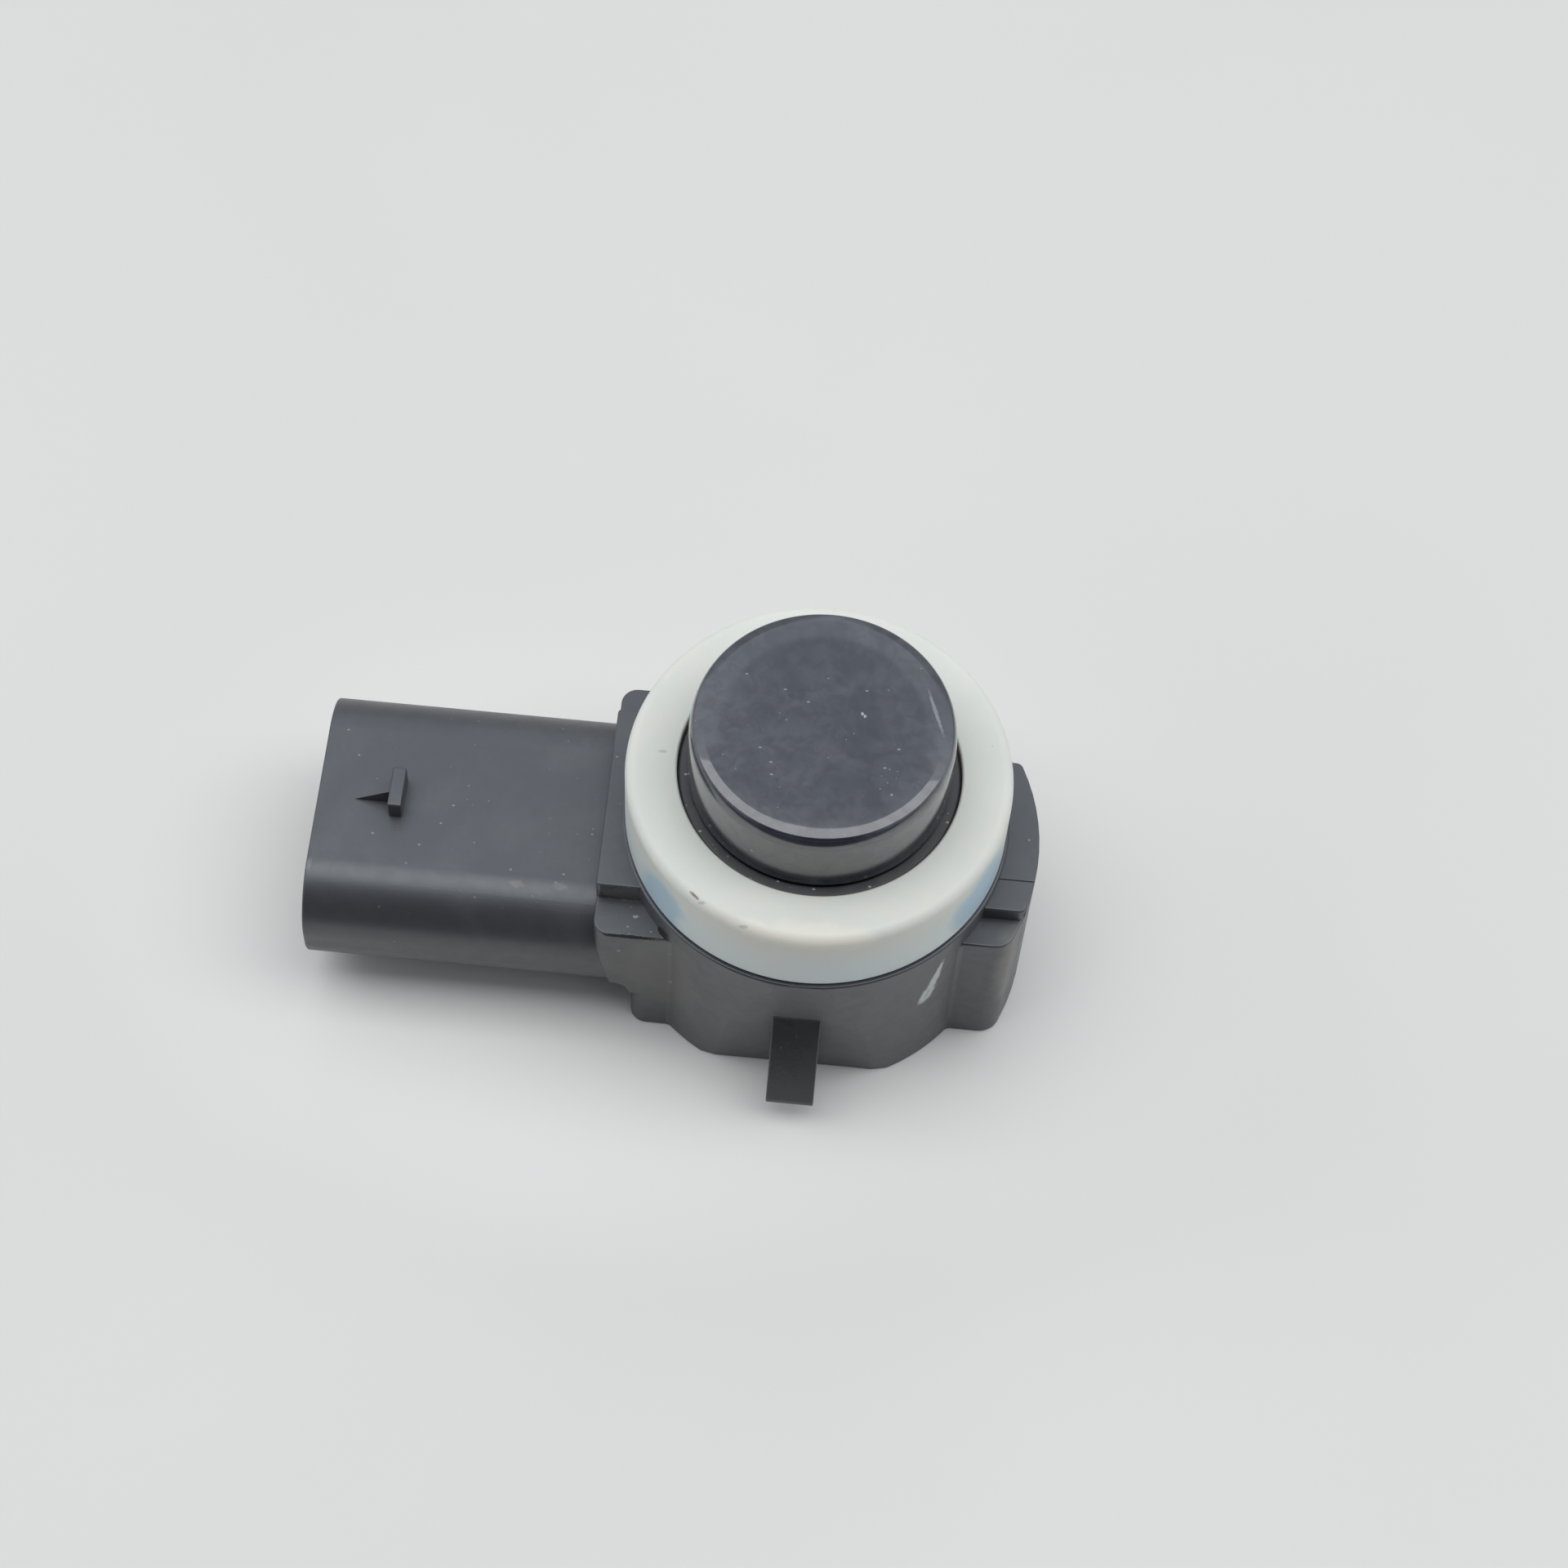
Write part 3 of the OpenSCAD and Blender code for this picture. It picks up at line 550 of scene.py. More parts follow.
def prism(name, outline, place, push):
    """Closed outline drawn by extruding one vertex, filled and pushed out to a solid."""
    clear_selection()
    bpy.ops.mesh.primitive_plane_add(size=MM)
    piece = bpy.context.object
    piece.name = name
    points = [place(u, v) for u, v in outline]
    bpy.ops.object.mode_set(mode="EDIT")
    bpy.ops.mesh.select_mode(type="VERT")
    bpy.ops.mesh.select_all(action="SELECT")
    bpy.ops.mesh.merge(type="CENTER")
    bpy.ops.transform.translate(value=points[0])
    for here, there in zip(points, points[1:]):
        bpy.ops.mesh.extrude_vertices_move(TRANSFORM_OT_translate={"value": there - here})
    mesh = bmesh.from_edit_mesh(piece.data)
    mesh.verts.ensure_lookup_table()
    mesh.verts[0].select = True
    bmesh.update_edit_mesh(piece.data)
    bpy.ops.mesh.edge_face_add()
    bpy.ops.mesh.select_all(action="SELECT")
    bpy.ops.mesh.edge_face_add()
    bpy.ops.mesh.extrude_region_move(TRANSFORM_OT_translate={"value": push})
    bpy.ops.mesh.select_all(action="SELECT")
    bpy.ops.mesh.normals_make_consistent(inside=False)
    bpy.ops.object.mode_set(mode="OBJECT")
    return piece


def pick(piece, kind, test):
    """Selects the vertices, edges or faces of the piece that pass a test, in edit mode."""
    bpy.ops.mesh.select_mode(type=kind)
    bpy.ops.mesh.select_all(action="DESELECT")
    mesh = bmesh.from_edit_mesh(piece.data)
    parts = {"VERT": mesh.verts, "EDGE": mesh.edges, "FACE": mesh.faces}[kind]
    for part in parts:
        if test(part):
            part.select_set(True)
    bmesh.update_edit_mesh(piece.data)


def middle(edge):
    return (edge.verts[0].co + edge.verts[1].co) / 2


def is_sharp(edge):
    return edge.is_manifold and edge.calc_face_angle_signed() > math.radians(ROUNDED_ANGLE)


def round_edges(piece, width, test=lambda place: True):
    """Rounds the sharp outer edges of the piece whose middle passes a test."""
    activate(piece)
    bpy.ops.object.mode_set(mode="EDIT")
    pick(piece, "EDGE", lambda edge: is_sharp(edge) and test(middle(edge)))
    bpy.ops.mesh.bevel(offset=width, segments=BEVEL_STEPS, profile=0.5, affect="EDGES", clamp_overlap=False)
    bpy.ops.object.mode_set(mode="OBJECT")


def combine(base, parts, operation):
    """Joins the parts to the base or cuts them from it, one after another."""
    for part in parts:
        step = base.modifiers.new(part.name, "BOOLEAN")
        step.operation = operation
        step.solver = "EXACT"
        step.object = part
        apply_modifier(base, step.name)
        bpy.data.objects.remove(part)


def rounded_box(side, rise, radius, mid_z):
    """Outline of a rounded rectangle about the shroud's middle line."""
    across = side - radius
    above = rise - radius
    outline = quarter(across, mid_z + above, radius, 0, 90, SHROUD_STEPS)
    outline += quarter(-across, mid_z + above, radius, 90, 180, SHROUD_STEPS)
    outline += quarter(-across, mid_z - above, radius, 180, 270, SHROUD_STEPS)
    outline += quarter(across, mid_z - above, radius, 270, 360, SHROUD_STEPS)
    return outline


def strip(reach, side, corner):
    """Plan of a strip from the axis to its reach in -X, with rounded outer corners."""
    outline = [(0, -side), (0, side)]
    outline += quarter(corner - reach, side - corner, corner, 90, 180)
    outline += quarter(corner - reach, corner - side, corner, 180, 270)
    return outline


def soft_corner(seat, side_x, side_y):
    """Plane that takes off the lower corner between a flat and the round wall."""
    turn = math.radians(CORNER_TURN)

    def reach(z):
        half = FLATS / 2 + (CORE_R - FLATS / 2) * z / seat
        return math.sqrt(CORE_R ** 2 - half ** 2) * math.cos(turn) + half * math.sin(turn)

    cut = reach(0) - CORNER_CUT
    lean = (reach(CORNER_RISE) - cut) / CORNER_RISE
    out = Vector((side_x * math.cos(turn), side_y * math.sin(turn), 0))
    return out * cut, (out - Vector((0, 0, lean))).normalized()


def core_solid(seat):
    clear_selection()
    bpy.ops.mesh.primitive_cylinder_add(
        vertices=TURN_STEPS, radius=CORE_R, depth=seat, location=(0, 0, seat / 2))
    core = bpy.context.object
    core.name = "moulded_housing"
    bpy.ops.object.transform_apply(location=True, rotation=False, scale=False)
    bpy.ops.object.mode_set(mode="EDIT")
    lean = CORE_R - FLATS / 2
    for side in (-1, 1):
        bpy.ops.mesh.select_all(action="SELECT")
        bpy.ops.mesh.bisect(
            plane_co=(0, side * FLATS / 2, 0), plane_no=Vector((0, side * seat, -lean)).normalized(),
            use_fill=True, clear_outer=True)
    for side_x, side_y in ((-1, -1), (-1, 1), (1, -1), (1, 1)):
        spot, out = soft_corner(seat, side_x, side_y)
        bpy.ops.mesh.select_all(action="SELECT")
        bpy.ops.mesh.bisect(plane_co=spot, plane_no=out, use_fill=True, clear_outer=True)
    bpy.ops.object.mode_set(mode="OBJECT")
    round_edges(core, HOUSING_EDGE)
    return core


def root_fillet(side_x, side_y, half):
    """Upright fillet where a block's side wall runs into the round core."""
    mid_y = side_y * (half + FILLET)
    mid_x = side_x * math.sqrt((CORE_R + FILLET) ** 2 - mid_y ** 2)
    to_wall = -90 * side_y
    to_core = math.degrees(math.atan2(-mid_y, -mid_x))
    outline = quarter(mid_x, mid_y, FILLET + STEP_IN / 4, to_wall, to_core)
    (wall_x, wall_y), (core_x, core_y) = outline[0], outline[-1]
    outline += [(FILLET_ROOT * core_x, FILLET_ROOT * core_y), (wall_x, wall_y - 2 * side_y * LAP)]
    fillet = prism("root_fillet", outline, in_plan(3 * STEP_IN), (0, 0, LEDGE - FILLET_DROP))
    round_edges(fillet, FINE_EDGE, lambda place: place.z < LAP)
    return fillet


def plug_block(seat):
    """Foot, ledge over the shroud's root and raised bar of the block on the plug's side."""
    foot = prism(
        "plug_foot", strip(FOOT_REACH, BLOCK_SIDE - STEP_IN, BLOCK_CORNER), in_plan(STEP_IN),
        (0, 0, HOLLOW_Z + LAP))
    round_edges(foot, HOUSING_EDGE, lambda place: place.z < LAP)
    profile = [(0, HOLLOW_Z), (-FOOT_REACH, HOLLOW_Z - HOLLOW_R)]
    profile += quarter(-FOOT_REACH - HOLLOW_R, HOLLOW_Z - HOLLOW_R, HOLLOW_R, 0, 90)[1:]
    profile += [(-BLOCK_REACH, LEDGE - LEAN_DROP), (-BLOCK_REACH, LEDGE), (0, LEDGE)]
    ledge = prism("plug_ledge", profile, in_side(-BLOCK_SIDE - LAP), (0, 2 * (BLOCK_SIDE + LAP), 0))
    plan = prism(
        "plug_plan", strip(BLOCK_REACH - STEP_IN, BLOCK_SIDE, BLOCK_CORNER), in_plan(0), (0, 0, seat))
    combine(ledge, [plan], "INTERSECT")
    round_edges(ledge, HOUSING_EDGE, lambda place: place.z > LEDGE - PICK_NEAR and place.x < -LAP)
    bar_foot = LEDGE - LEAN_DROP + STEP_IN
    bar = prism(
        "plug_bar", strip(BLOCK_REACH, BAR_SIDE, BAR_CORNER), in_plan(bar_foot),
        (0, 0, seat - STEP_IN - bar_foot))
    round_edges(bar, HOUSING_EDGE, lambda place: place.x < -LAP)
    fillets = [root_fillet(-1, side, BLOCK_SIDE) for side in (-1, 1)]
    return [foot, ledge, bar, *fillets]


def end_outline(reach, half, corner):
    """Plan from the axis to the curved end wall in +X, with rounded outer corners."""
    near, far = [
        (math.sqrt((reach - corner) ** 2 - (half - corner - side * END_OFFSET) ** 2), side)
        for side in (-1, 1)]
    turns = [math.degrees(math.atan2(side * (half - corner) - END_OFFSET, x)) for x, side in (near, far)]
    outline = [(0, half), (0, -half)]
    outline += quarter(near[0], corner - half, corner, -90, turns[0])
    outline += quarter(0, END_OFFSET, reach, *turns)[1:-1]
    outline += quarter(far[0], half - corner, corner, turns[1], 90)
    return outline


def round_block():
    """Ledge and stepped bar of the block on the round side."""
    ledge = prism(
        "round_ledge", end_outline(END_R - STEP_IN, END_SIDE, END_CORNER), in_plan(STEP_IN),
        (0, 0, LEDGE - STEP_IN))
    round_edges(ledge, HOUSING_EDGE, lambda place: place.x > LAP)
    step = prism(
        "round_step", end_outline(END_R - STEP_IN / 2, END_BAR_SIDE - STEP_IN, END_BAR_CORNER),
        in_plan(3 * STEP_IN), (0, 0, END_BAR_Z - END_STEP_DROP - 3 * STEP_IN))
    round_edges(step, HOUSING_EDGE, lambda place: place.x > LAP)
    bar = prism(
        "round_bar", end_outline(END_R, END_BAR_SIDE, END_BAR_CORNER), in_plan(2 * STEP_IN),
        (0, 0, END_BAR_Z - 2 * STEP_IN))
    bpy.ops.object.mode_set(mode="EDIT")
    bpy.ops.mesh.select_all(action="SELECT")
    bpy.ops.mesh.bisect(
        plane_co=(0, END_STEP_LENGTH - END_BAR_SIDE, 0), plane_no=(0, -1, 0), use_fill=True, clear_outer=True)
    bpy.ops.object.mode_set(mode="OBJECT")
    round_edges(bar, FINE_EDGE, lambda place: place.x > LAP)
    fillets = [root_fillet(1, side, END_SIDE) for side in (-1, 1)]
    return [ledge, step, bar, *fillets]


def shroud_solids():
    outline = rounded_box(SHROUD_SIDE, SHROUD_RISE, SHROUD_R, SHROUD_Z)
    shroud = prism("shroud", outline, in_section(-MOUTH), (MOUTH - FOOT_REACH + 2 * LAP, 0, 0))
    round_edges(shroud, HOUSING_EDGE, lambda place: place.x < LAP - MOUTH)
    top = SHROUD_Z + SHROUD_RISE
    near_x = -LOCK_REACH - LOCK_THICK / 2
    bar = [
        (-LOCK_SIDE, top - LAP), (LOCK_SIDE, top - LAP), (LOCK_SIDE, top + LOCK_RISE),
        (-LOCK_SIDE, top + LOCK_RISE)]
    lock = prism("lock_bar", bar, in_section(near_x), (LOCK_THICK, 0, 0))
    round_edges(lock, LOCK_EDGE)
    crest = top + LOCK_RISE - LOCK_EDGE
    ramp_end = near_x - RAMP_LENGTH
    wedge = [
        (-LOCK_REACH, top - LAP), (-LOCK_REACH, crest), (near_x, crest), (ramp_end, top),
        (ramp_end, top - LAP)]
    ramp = prism("lock_ramp", wedge, in_side(-RAMP_SIDE), (0, 2 * RAMP_SIDE, 0))
    return [shroud, lock, ramp]


def latch_noses():
    noses = []
    tip = FLATS / 2 + NOSE_OUT
    for side in (-1, 1):
        profile = [
            (0, NOSE_LIFT), (side * tip, NOSE_LIFT), (side * tip, NOSE_LIFT + NOSE_FACE),
            (side * FLATS / 2, NOSE_TOP), (0, NOSE_TOP)]
        nose = prism("latch_nose", profile, in_section(-NOSE_SIDE), (2 * NOSE_SIDE, 0, 0))
        round_edges(nose, FINE_EDGE)
        noses.append(nose)
    return noses


def housing_hollows(seat, collar_in):
    """Cutters for the bay, the recess of the cover, the window to the pot, the socket and the terminals."""
    bay = turned("bay", [
        (0, -LAP), (RECESS_R, -LAP), (RECESS_R, RECESS_TOP), (BOARD_R, RECESS_TOP), (BOARD_R, BOARD_TOP),
        (BAY_R, BOARD_TOP), (BAY_R, BAY_TOP), (WINDOW_R, BAY_TOP), (WINDOW_R, seat), (collar_in, seat),
        (collar_in, seat + COLLAR_HEIGHT + LAP), (0, seat + COLLAR_HEIGHT + LAP)])
    outline = rounded_box(
        SHROUD_SIDE - SHROUD_WALL, SHROUD_RISE - SHROUD_WALL, SHROUD_R - SHROUD_WALL, SHROUD_Z)
    socket = prism("socket", outline, in_section(-MOUTH - LAP), (SOCKET_DEPTH + LAP, 0, 0))
    cutters = [bay, socket]
    low, high = SHROUD_Z - SLOT_RISE, SHROUD_Z + SLOT_RISE
    start = SOCKET_DEPTH - MOUTH - LAP
    for place in (-1, 0, 1):
        near, far = place * SLOT_PITCH - SLOT_SIDE, place * SLOT_PITCH + SLOT_SIDE
        slot = [(near, low), (far, low), (far, high), (near, high)]
        cutters.append(prism("slot", slot, in_section(start), (-SLOT_END - start, 0, 0)))
    return cutters


def is_leaning_flat(face):
    """True on the core's flats, which look out to the near or far side and a little down."""
    across, out, up = face.normal
    return abs(across) < FLAT_MOST_X and abs(out) > FLAT_LEAST_Y and up < FLAT_MOST_Z


def is_flat_border(edge):
    """True where one of the core's leaning flats meets the round wall."""
    if len(edge.link_faces) != 2 or edge.calc_face_angle() < math.radians(FLAT_LEAST_TURN):
        return False
    return any(is_leaning_flat(face) for face in edge.link_faces)


def is_mouth_rim(place):
    """True on the inner rim of the socket's mouth."""
    inside = abs(place.y) < SHROUD_SIDE - 2 * LAP and abs(place.z - SHROUD_Z) < SHROUD_RISE - 2 * LAP
    return inside and place.x < PICK_AT - MOUTH


def moulded_housing():
    """One moulding with rounded outer edges: core, two side blocks, plug shroud and latch noses."""
    seat = box_of("decoupling_ring")[0].z
    collar_in = box_of("pot_sleeve")[1].x + BORE_GAP
    housing = core_solid(seat)
    clear_selection()
    bpy.ops.mesh.primitive_cylinder_add(
        vertices=TURN_STEPS, radius=collar_in + COLLAR_WALL, depth=COLLAR_HEIGHT + 2 * LAP,
        location=(0, 0, seat + COLLAR_HEIGHT / 2 - LAP))
    collar = bpy.context.object
    solids = [collar, *plug_block(seat), *round_block(), *shroud_solids(), *latch_noses()]
    combine(housing, solids, "UNION")
    combine(housing, housing_hollows(seat, collar_in), "DIFFERENCE")
    round_edges(housing, MOUTH_EDGE, is_mouth_rim)
    activate(housing)
    bpy.ops.object.shade_smooth_by_angle(angle=math.radians(HOUSING_CREASE))
    bpy.ops.object.mode_set(mode="EDIT")
    pick(housing, "EDGE", is_flat_border)
    bpy.ops.mesh.mark_sharp()
    bpy.ops.object.mode_set(mode="OBJECT")
    even = housing.modifiers.new("even_shading", "WEIGHTED_NORMAL")
    even.keep_sharp = True
    apply_modifier(housing, even.name)
    return housing


def soften_small_edges(node):
    """Live weld and bevel that break the sharp edges of a CAD piece."""
    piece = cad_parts[node]
    weld = piece.modifiers.new("weld", "WELD")
    weld.merge_threshold = WELD_REACH
    bevel = piece.modifiers.new("small_edges", "BEVEL")
    bevel.width = SMALL_EDGE
    bevel.segments = SMALL_EDGE_STEPS
    bevel.limit_method = "ANGLE"
    bevel.angle_limit = math.radians(SMALL_EDGE_ANGLE)


def add(tree, kind, inputs=None, **settings):
    """Node with its settings, and with each input given as a value or as the socket that feeds it."""
    node = tree.nodes.new(kind)
    for key, value in settings.items():
        setattr(node, key, value)
    for key, value in (inputs or {}).items():
        if isinstance(value, bpy.types.NodeSocket):
            tree.links.new(value, node.inputs[key])
        else:
            node.inputs[key].default_value = value
    return node


def maths(tree, operation, first, second=0.0):
    return add(tree, "ShaderNodeMath", {0: first, 1: second}, operation=operation).outputs[0]


def vectors(tree, operation, first, second):
    return add(tree, "ShaderNodeVectorMath", {0: first, 1: second}, operation=operation).outputs["Vector"]


def ranged(tree, value, low, high, start=0.0, end=1.0):
    """Value carried smoothly from one range to another and held at its ends."""
    carried = {0: value, 1: low, 2: high, 3: start, 4: end}
    return add(tree, "ShaderNodeMapRange", carried, interpolation_type="SMOOTHSTEP").outputs[0]


def mixed(tree, share, first, second):
    """Colour between two others, each a colour or a socket."""
    ends = [end if isinstance(end, bpy.types.NodeSocket) else (*end, 1) for end in (first, second)]
    return add(tree, "ShaderNodeMix", {0: share, 6: ends[0], 7: ends[1]}, data_type="RGBA").outputs[2]


def scaled(tree, mask, share):
    return maths(tree, "MULTIPLY", mask, share)


def tinted(tree, colour, mask, tone, share):
    """Colour that turns to a tone where the mask is, by a share at most."""
    return mixed(tree, scaled(tree, mask, share), colour, tone)


def strongest(tree, *masks):
    """Mask that follows the strongest of several."""
    total = masks[0]
    for mask in masks[1:]:
        total = maths(tree, "MAXIMUM", total, mask)
    return total


def summed(tree, base, *parts):
    """Base value with each mask's share added."""
    total = base
    for mask, share in parts:
        total = maths(tree, "ADD", scaled(tree, mask, share), total)
    return total


def length_of(tree, vector):
    return add(tree, "ShaderNodeVectorMath", {0: vector}, operation="LENGTH").outputs["Value"]


def parts_of(tree, vector):
    return add(tree, "ShaderNodeSeparateXYZ", {0: vector}).outputs


def noise(tree, place, scale, detail=2.0, distortion=0.0):
    values = {"Vector": place, "Scale": scale, "Detail": detail, "Distortion": distortion}
    return add(tree, "ShaderNodeTexNoise", values).outputs[0]


def shader_group(name, inputs, output):
    """Empty node group with its named sockets."""
    tree = bpy.data.node_groups.new(name, "ShaderNodeTree")
    for label, kind in inputs.items():
        tree.interface.new_socket(name=label, in_out="INPUT", socket_type=kind)
    tree.interface.new_socket(name=output, in_out="OUTPUT", socket_type=NUMBER)
    return tree, tree.nodes.new("NodeGroupInput").outputs, tree.nodes.new("NodeGroupOutput").inputs[output]


def grain_group():
    """Fine surface grain in two sizes."""
    tree, given, height = shader_group("fine_grain", {"Place": VECTOR, "Scale": NUMBER}, "Height")
    coarse = noise(tree, given["Place"], given["Scale"])
    fine = noise(tree, given["Place"], scaled(tree, given["Scale"], FINE_GRAIN_SCALE), detail=1.0)
    tree.links.new(summed(tree, coarse, (fine, FINE_GRAIN_SHARE)), height)
    return tree


def smudge_group():
    """Soft uneven patches, as from handling."""
    sockets = {"Place": VECTOR, "Scale": NUMBER, "Low": NUMBER, "High": NUMBER}
    tree, given, mask = shader_group("smudges", sockets, "Mask")
    cloud = noise(tree, given["Place"], given["Scale"], detail=5.0, distortion=0.8)
    tree.links.new(ranged(tree, cloud, given["Low"], given["High"]), mask)
    return tree


def dust_group():
    """Scattered specks: a share of the cells holds one, each of its own size."""
    sockets = {"Place": VECTOR, "Cells": NUMBER, "Share": NUMBER, "Size": NUMBER}
    tree, given, mask = shader_group("dust_specks", sockets, "Mask")
    cells = add(tree, "ShaderNodeTexVoronoi", {"Vector": given["Place"], "Scale": given["Cells"]})
    chance = add(tree, "ShaderNodeSeparateColor", {0: cells.outputs["Color"]}).outputs
    chosen = maths(tree, "LESS_THAN", chance[0], given["Share"])
    reach = scaled(tree, given["Size"], chance[1])
    spot = ranged(tree, cells.outputs["Distance"], scaled(tree, reach, SPECK_CORE), reach, start=1.0, end=0.0)
    tree.links.new(scaled(tree, chosen, spot), mask)
    return tree


def mark_group():
    """One mark with a ragged edge, turned about an axis through its centre."""
    sockets = {
        "Place": VECTOR, "Centre": VECTOR, "Reach": VECTOR, "Axis": VECTOR, "Turn": NUMBER, "Ragged": NUMBER}
    tree, given, mask = shader_group("single_mark", sockets, "Mask")
    turn = {
        "Vector": given["Place"], "Center": given["Centre"], "Axis": given["Axis"], "Angle": given["Turn"]}
    place = add(tree, "ShaderNodeVectorRotate", turn, rotation_type="AXIS_ANGLE").outputs[0]
    away = vectors(tree, "SUBTRACT", place, given["Centre"])
    length = length_of(tree, vectors(tree, "DIVIDE", away, given["Reach"]))
    sides = parts_of(tree, given["Reach"])
    width = maths(tree, "MINIMUM", sides["X"], sides["Y"])
    grains = noise(tree, given["Place"], maths(tree, "DIVIDE", MARK_GRAINS, width), detail=3.0)
    edge = summed(tree, length, (maths(tree, "SUBTRACT", grains, 0.5), given["Ragged"]))
    tree.links.new(ranged(tree, edge, low=0.5, high=1.0, start=1.0, end=0.0), mask)
    return tree


def masked(tree, group, **values):
    return add(tree, "ShaderNodeGroup", values, node_tree=group).outputs[0]


def single_mark(tree, place, centre, reach, ragged, axis=(0, 0, 1), turn=0.0):
    """Mask of one mark, with its place and reach in millimetres and its turn in degrees."""
    return masked(
        tree, mark, Place=place, Centre=Vector(centre) * MM, Reach=Vector(reach) * MM, Axis=axis,
        Turn=math.radians(turn), Ragged=ragged)


def several_marks(tree, place, centres, reach, ragged):
    """Mask of marks of one reach at several places, in millimetres."""
    return strongest(tree, *[single_mark(tree, place, centre, reach, ragged) for centre in centres])


def start_finish(name):
    material = bpy.data.materials.new(name)
    material.use_nodes = True
    tree = material.node_tree
    place = add(tree, "ShaderNodeTexCoord").outputs["Object"]
    return material, tree, tree.nodes["Principled BSDF"].inputs, place


def set_bump(tree, shader, height, depth):
    relief = add(tree, "ShaderNodeBump", {"Height": height, "Distance": depth})
    tree.links.new(relief.outputs["Normal"], shader["Normal"])


def shaded_noses(tree, place):
    """Mask of the latch noses, which get painted shade."""
    parts = parts_of(tree, place)
    out = ranged(tree, maths(tree, "ABSOLUTE", parts["Y"]), *NOSE_SHADE_OUT)
    low = ranged(tree, parts["Z"], *NOSE_SHADE_TOP)
    along = ranged(tree, maths(tree, "ABSOLUTE", parts["X"]), *NOSE_SHADE_HALF)
    return scaled(tree, scaled(tree, out, low), along)


def plastic_smears_and_light(tree, place, colour):
    """Painted light in olive tones on two walls, yellow smears and a painted reflection on the bar's near
    end, on the colour of the plastic.
    """
    # Painted light: a lighter olive tone on the near wall of the plug side's block
    left_wall_light = single_mark(tree, place, LEFT_WALL_LIGHT, LEFT_WALL_LIGHT_REACH, ragged=1.2)
    colour = tinted(tree, colour, left_wall_light, LEFT_WALL_LIGHT_TONE, share=0.6)
    # Painted light: a lighter olive tone on the near corner of the round side's block
    corner = single_mark(tree, place, RIGHT_CORNER_LIGHT, RIGHT_CORNER_LIGHT_REACH, ragged=1.0)
    colour = tinted(tree, colour, corner, RIGHT_CORNER_LIGHT_TONE, share=0.7)
    smear = several_marks(tree, place, YELLOW_SMEARS, SMEAR_REACH, ragged=1.4)
    colour = tinted(tree, colour, smear, SMEAR_TONE, share=0.35)
    # Painted reflection: the bar's near end is lighter
    bar_end_reflection = single_mark(tree, place, BAR_END_REFLECTION, BAR_END_REFLECTION_REACH, ragged=0.9)
    return tinted(tree, colour, bar_end_reflection, BAR_END_REFLECTION_TONE, share=0.8)


def plastic_dust(tree, place):
    """Mask of the dust, which lies thickest on faces that look up, and of its single specks and flecks."""
    normal = add(tree, "ShaderNodeTexCoord").outputs["Normal"]
    settled = ranged(tree, parts_of(tree, normal)["Z"], *DUST_TILT, *DUST_SHARE)
    film = masked(tree, dust, Place=place, Cells=2300.0, Share=0.22, Size=0.2)
    specks = several_marks(tree, place, PLASTIC_SPECKS, SPECK_REACH, ragged=1.3)
    flecks = several_marks(tree, place, PLASTIC_FLECKS, FLECK_REACH, ragged=1.3)
    return strongest(
        tree, scaled(tree, film, settled), scaled(tree, specks, share=0.6), scaled(tree, flecks, share=0.85))


def plastic_cracks(tree, place):
    """Mask of the crack and the scratch on the near ledge."""
    crack = single_mark(tree, place, LEDGE_CRACK, CRACK_REACH, ragged=1.0)
    scratch = single_mark(tree, place, LEDGE_SCRATCH, SCRATCH_REACH, ragged=1.0, turn=SCRATCH_TURN)
    return strongest(tree, crack, scratch)


def plastic_scuff(tree, place):
    """Mask of the pale scuff on the near wall, which widens downwards."""
    stretches = (
        (SCUFF_TOP, SCUFF_TOP_REACH), (SCUFF_MIDDLE, SCUFF_MIDDLE_REACH), (SCUFF_FOOT, SCUFF_FOOT_REACH))
    return strongest(tree, *[
        single_mark(tree, place, centre, reach, ragged=0.7, axis=SCUFF_FACING, turn=SCUFF_TURN)
        for centre, reach in stretches])


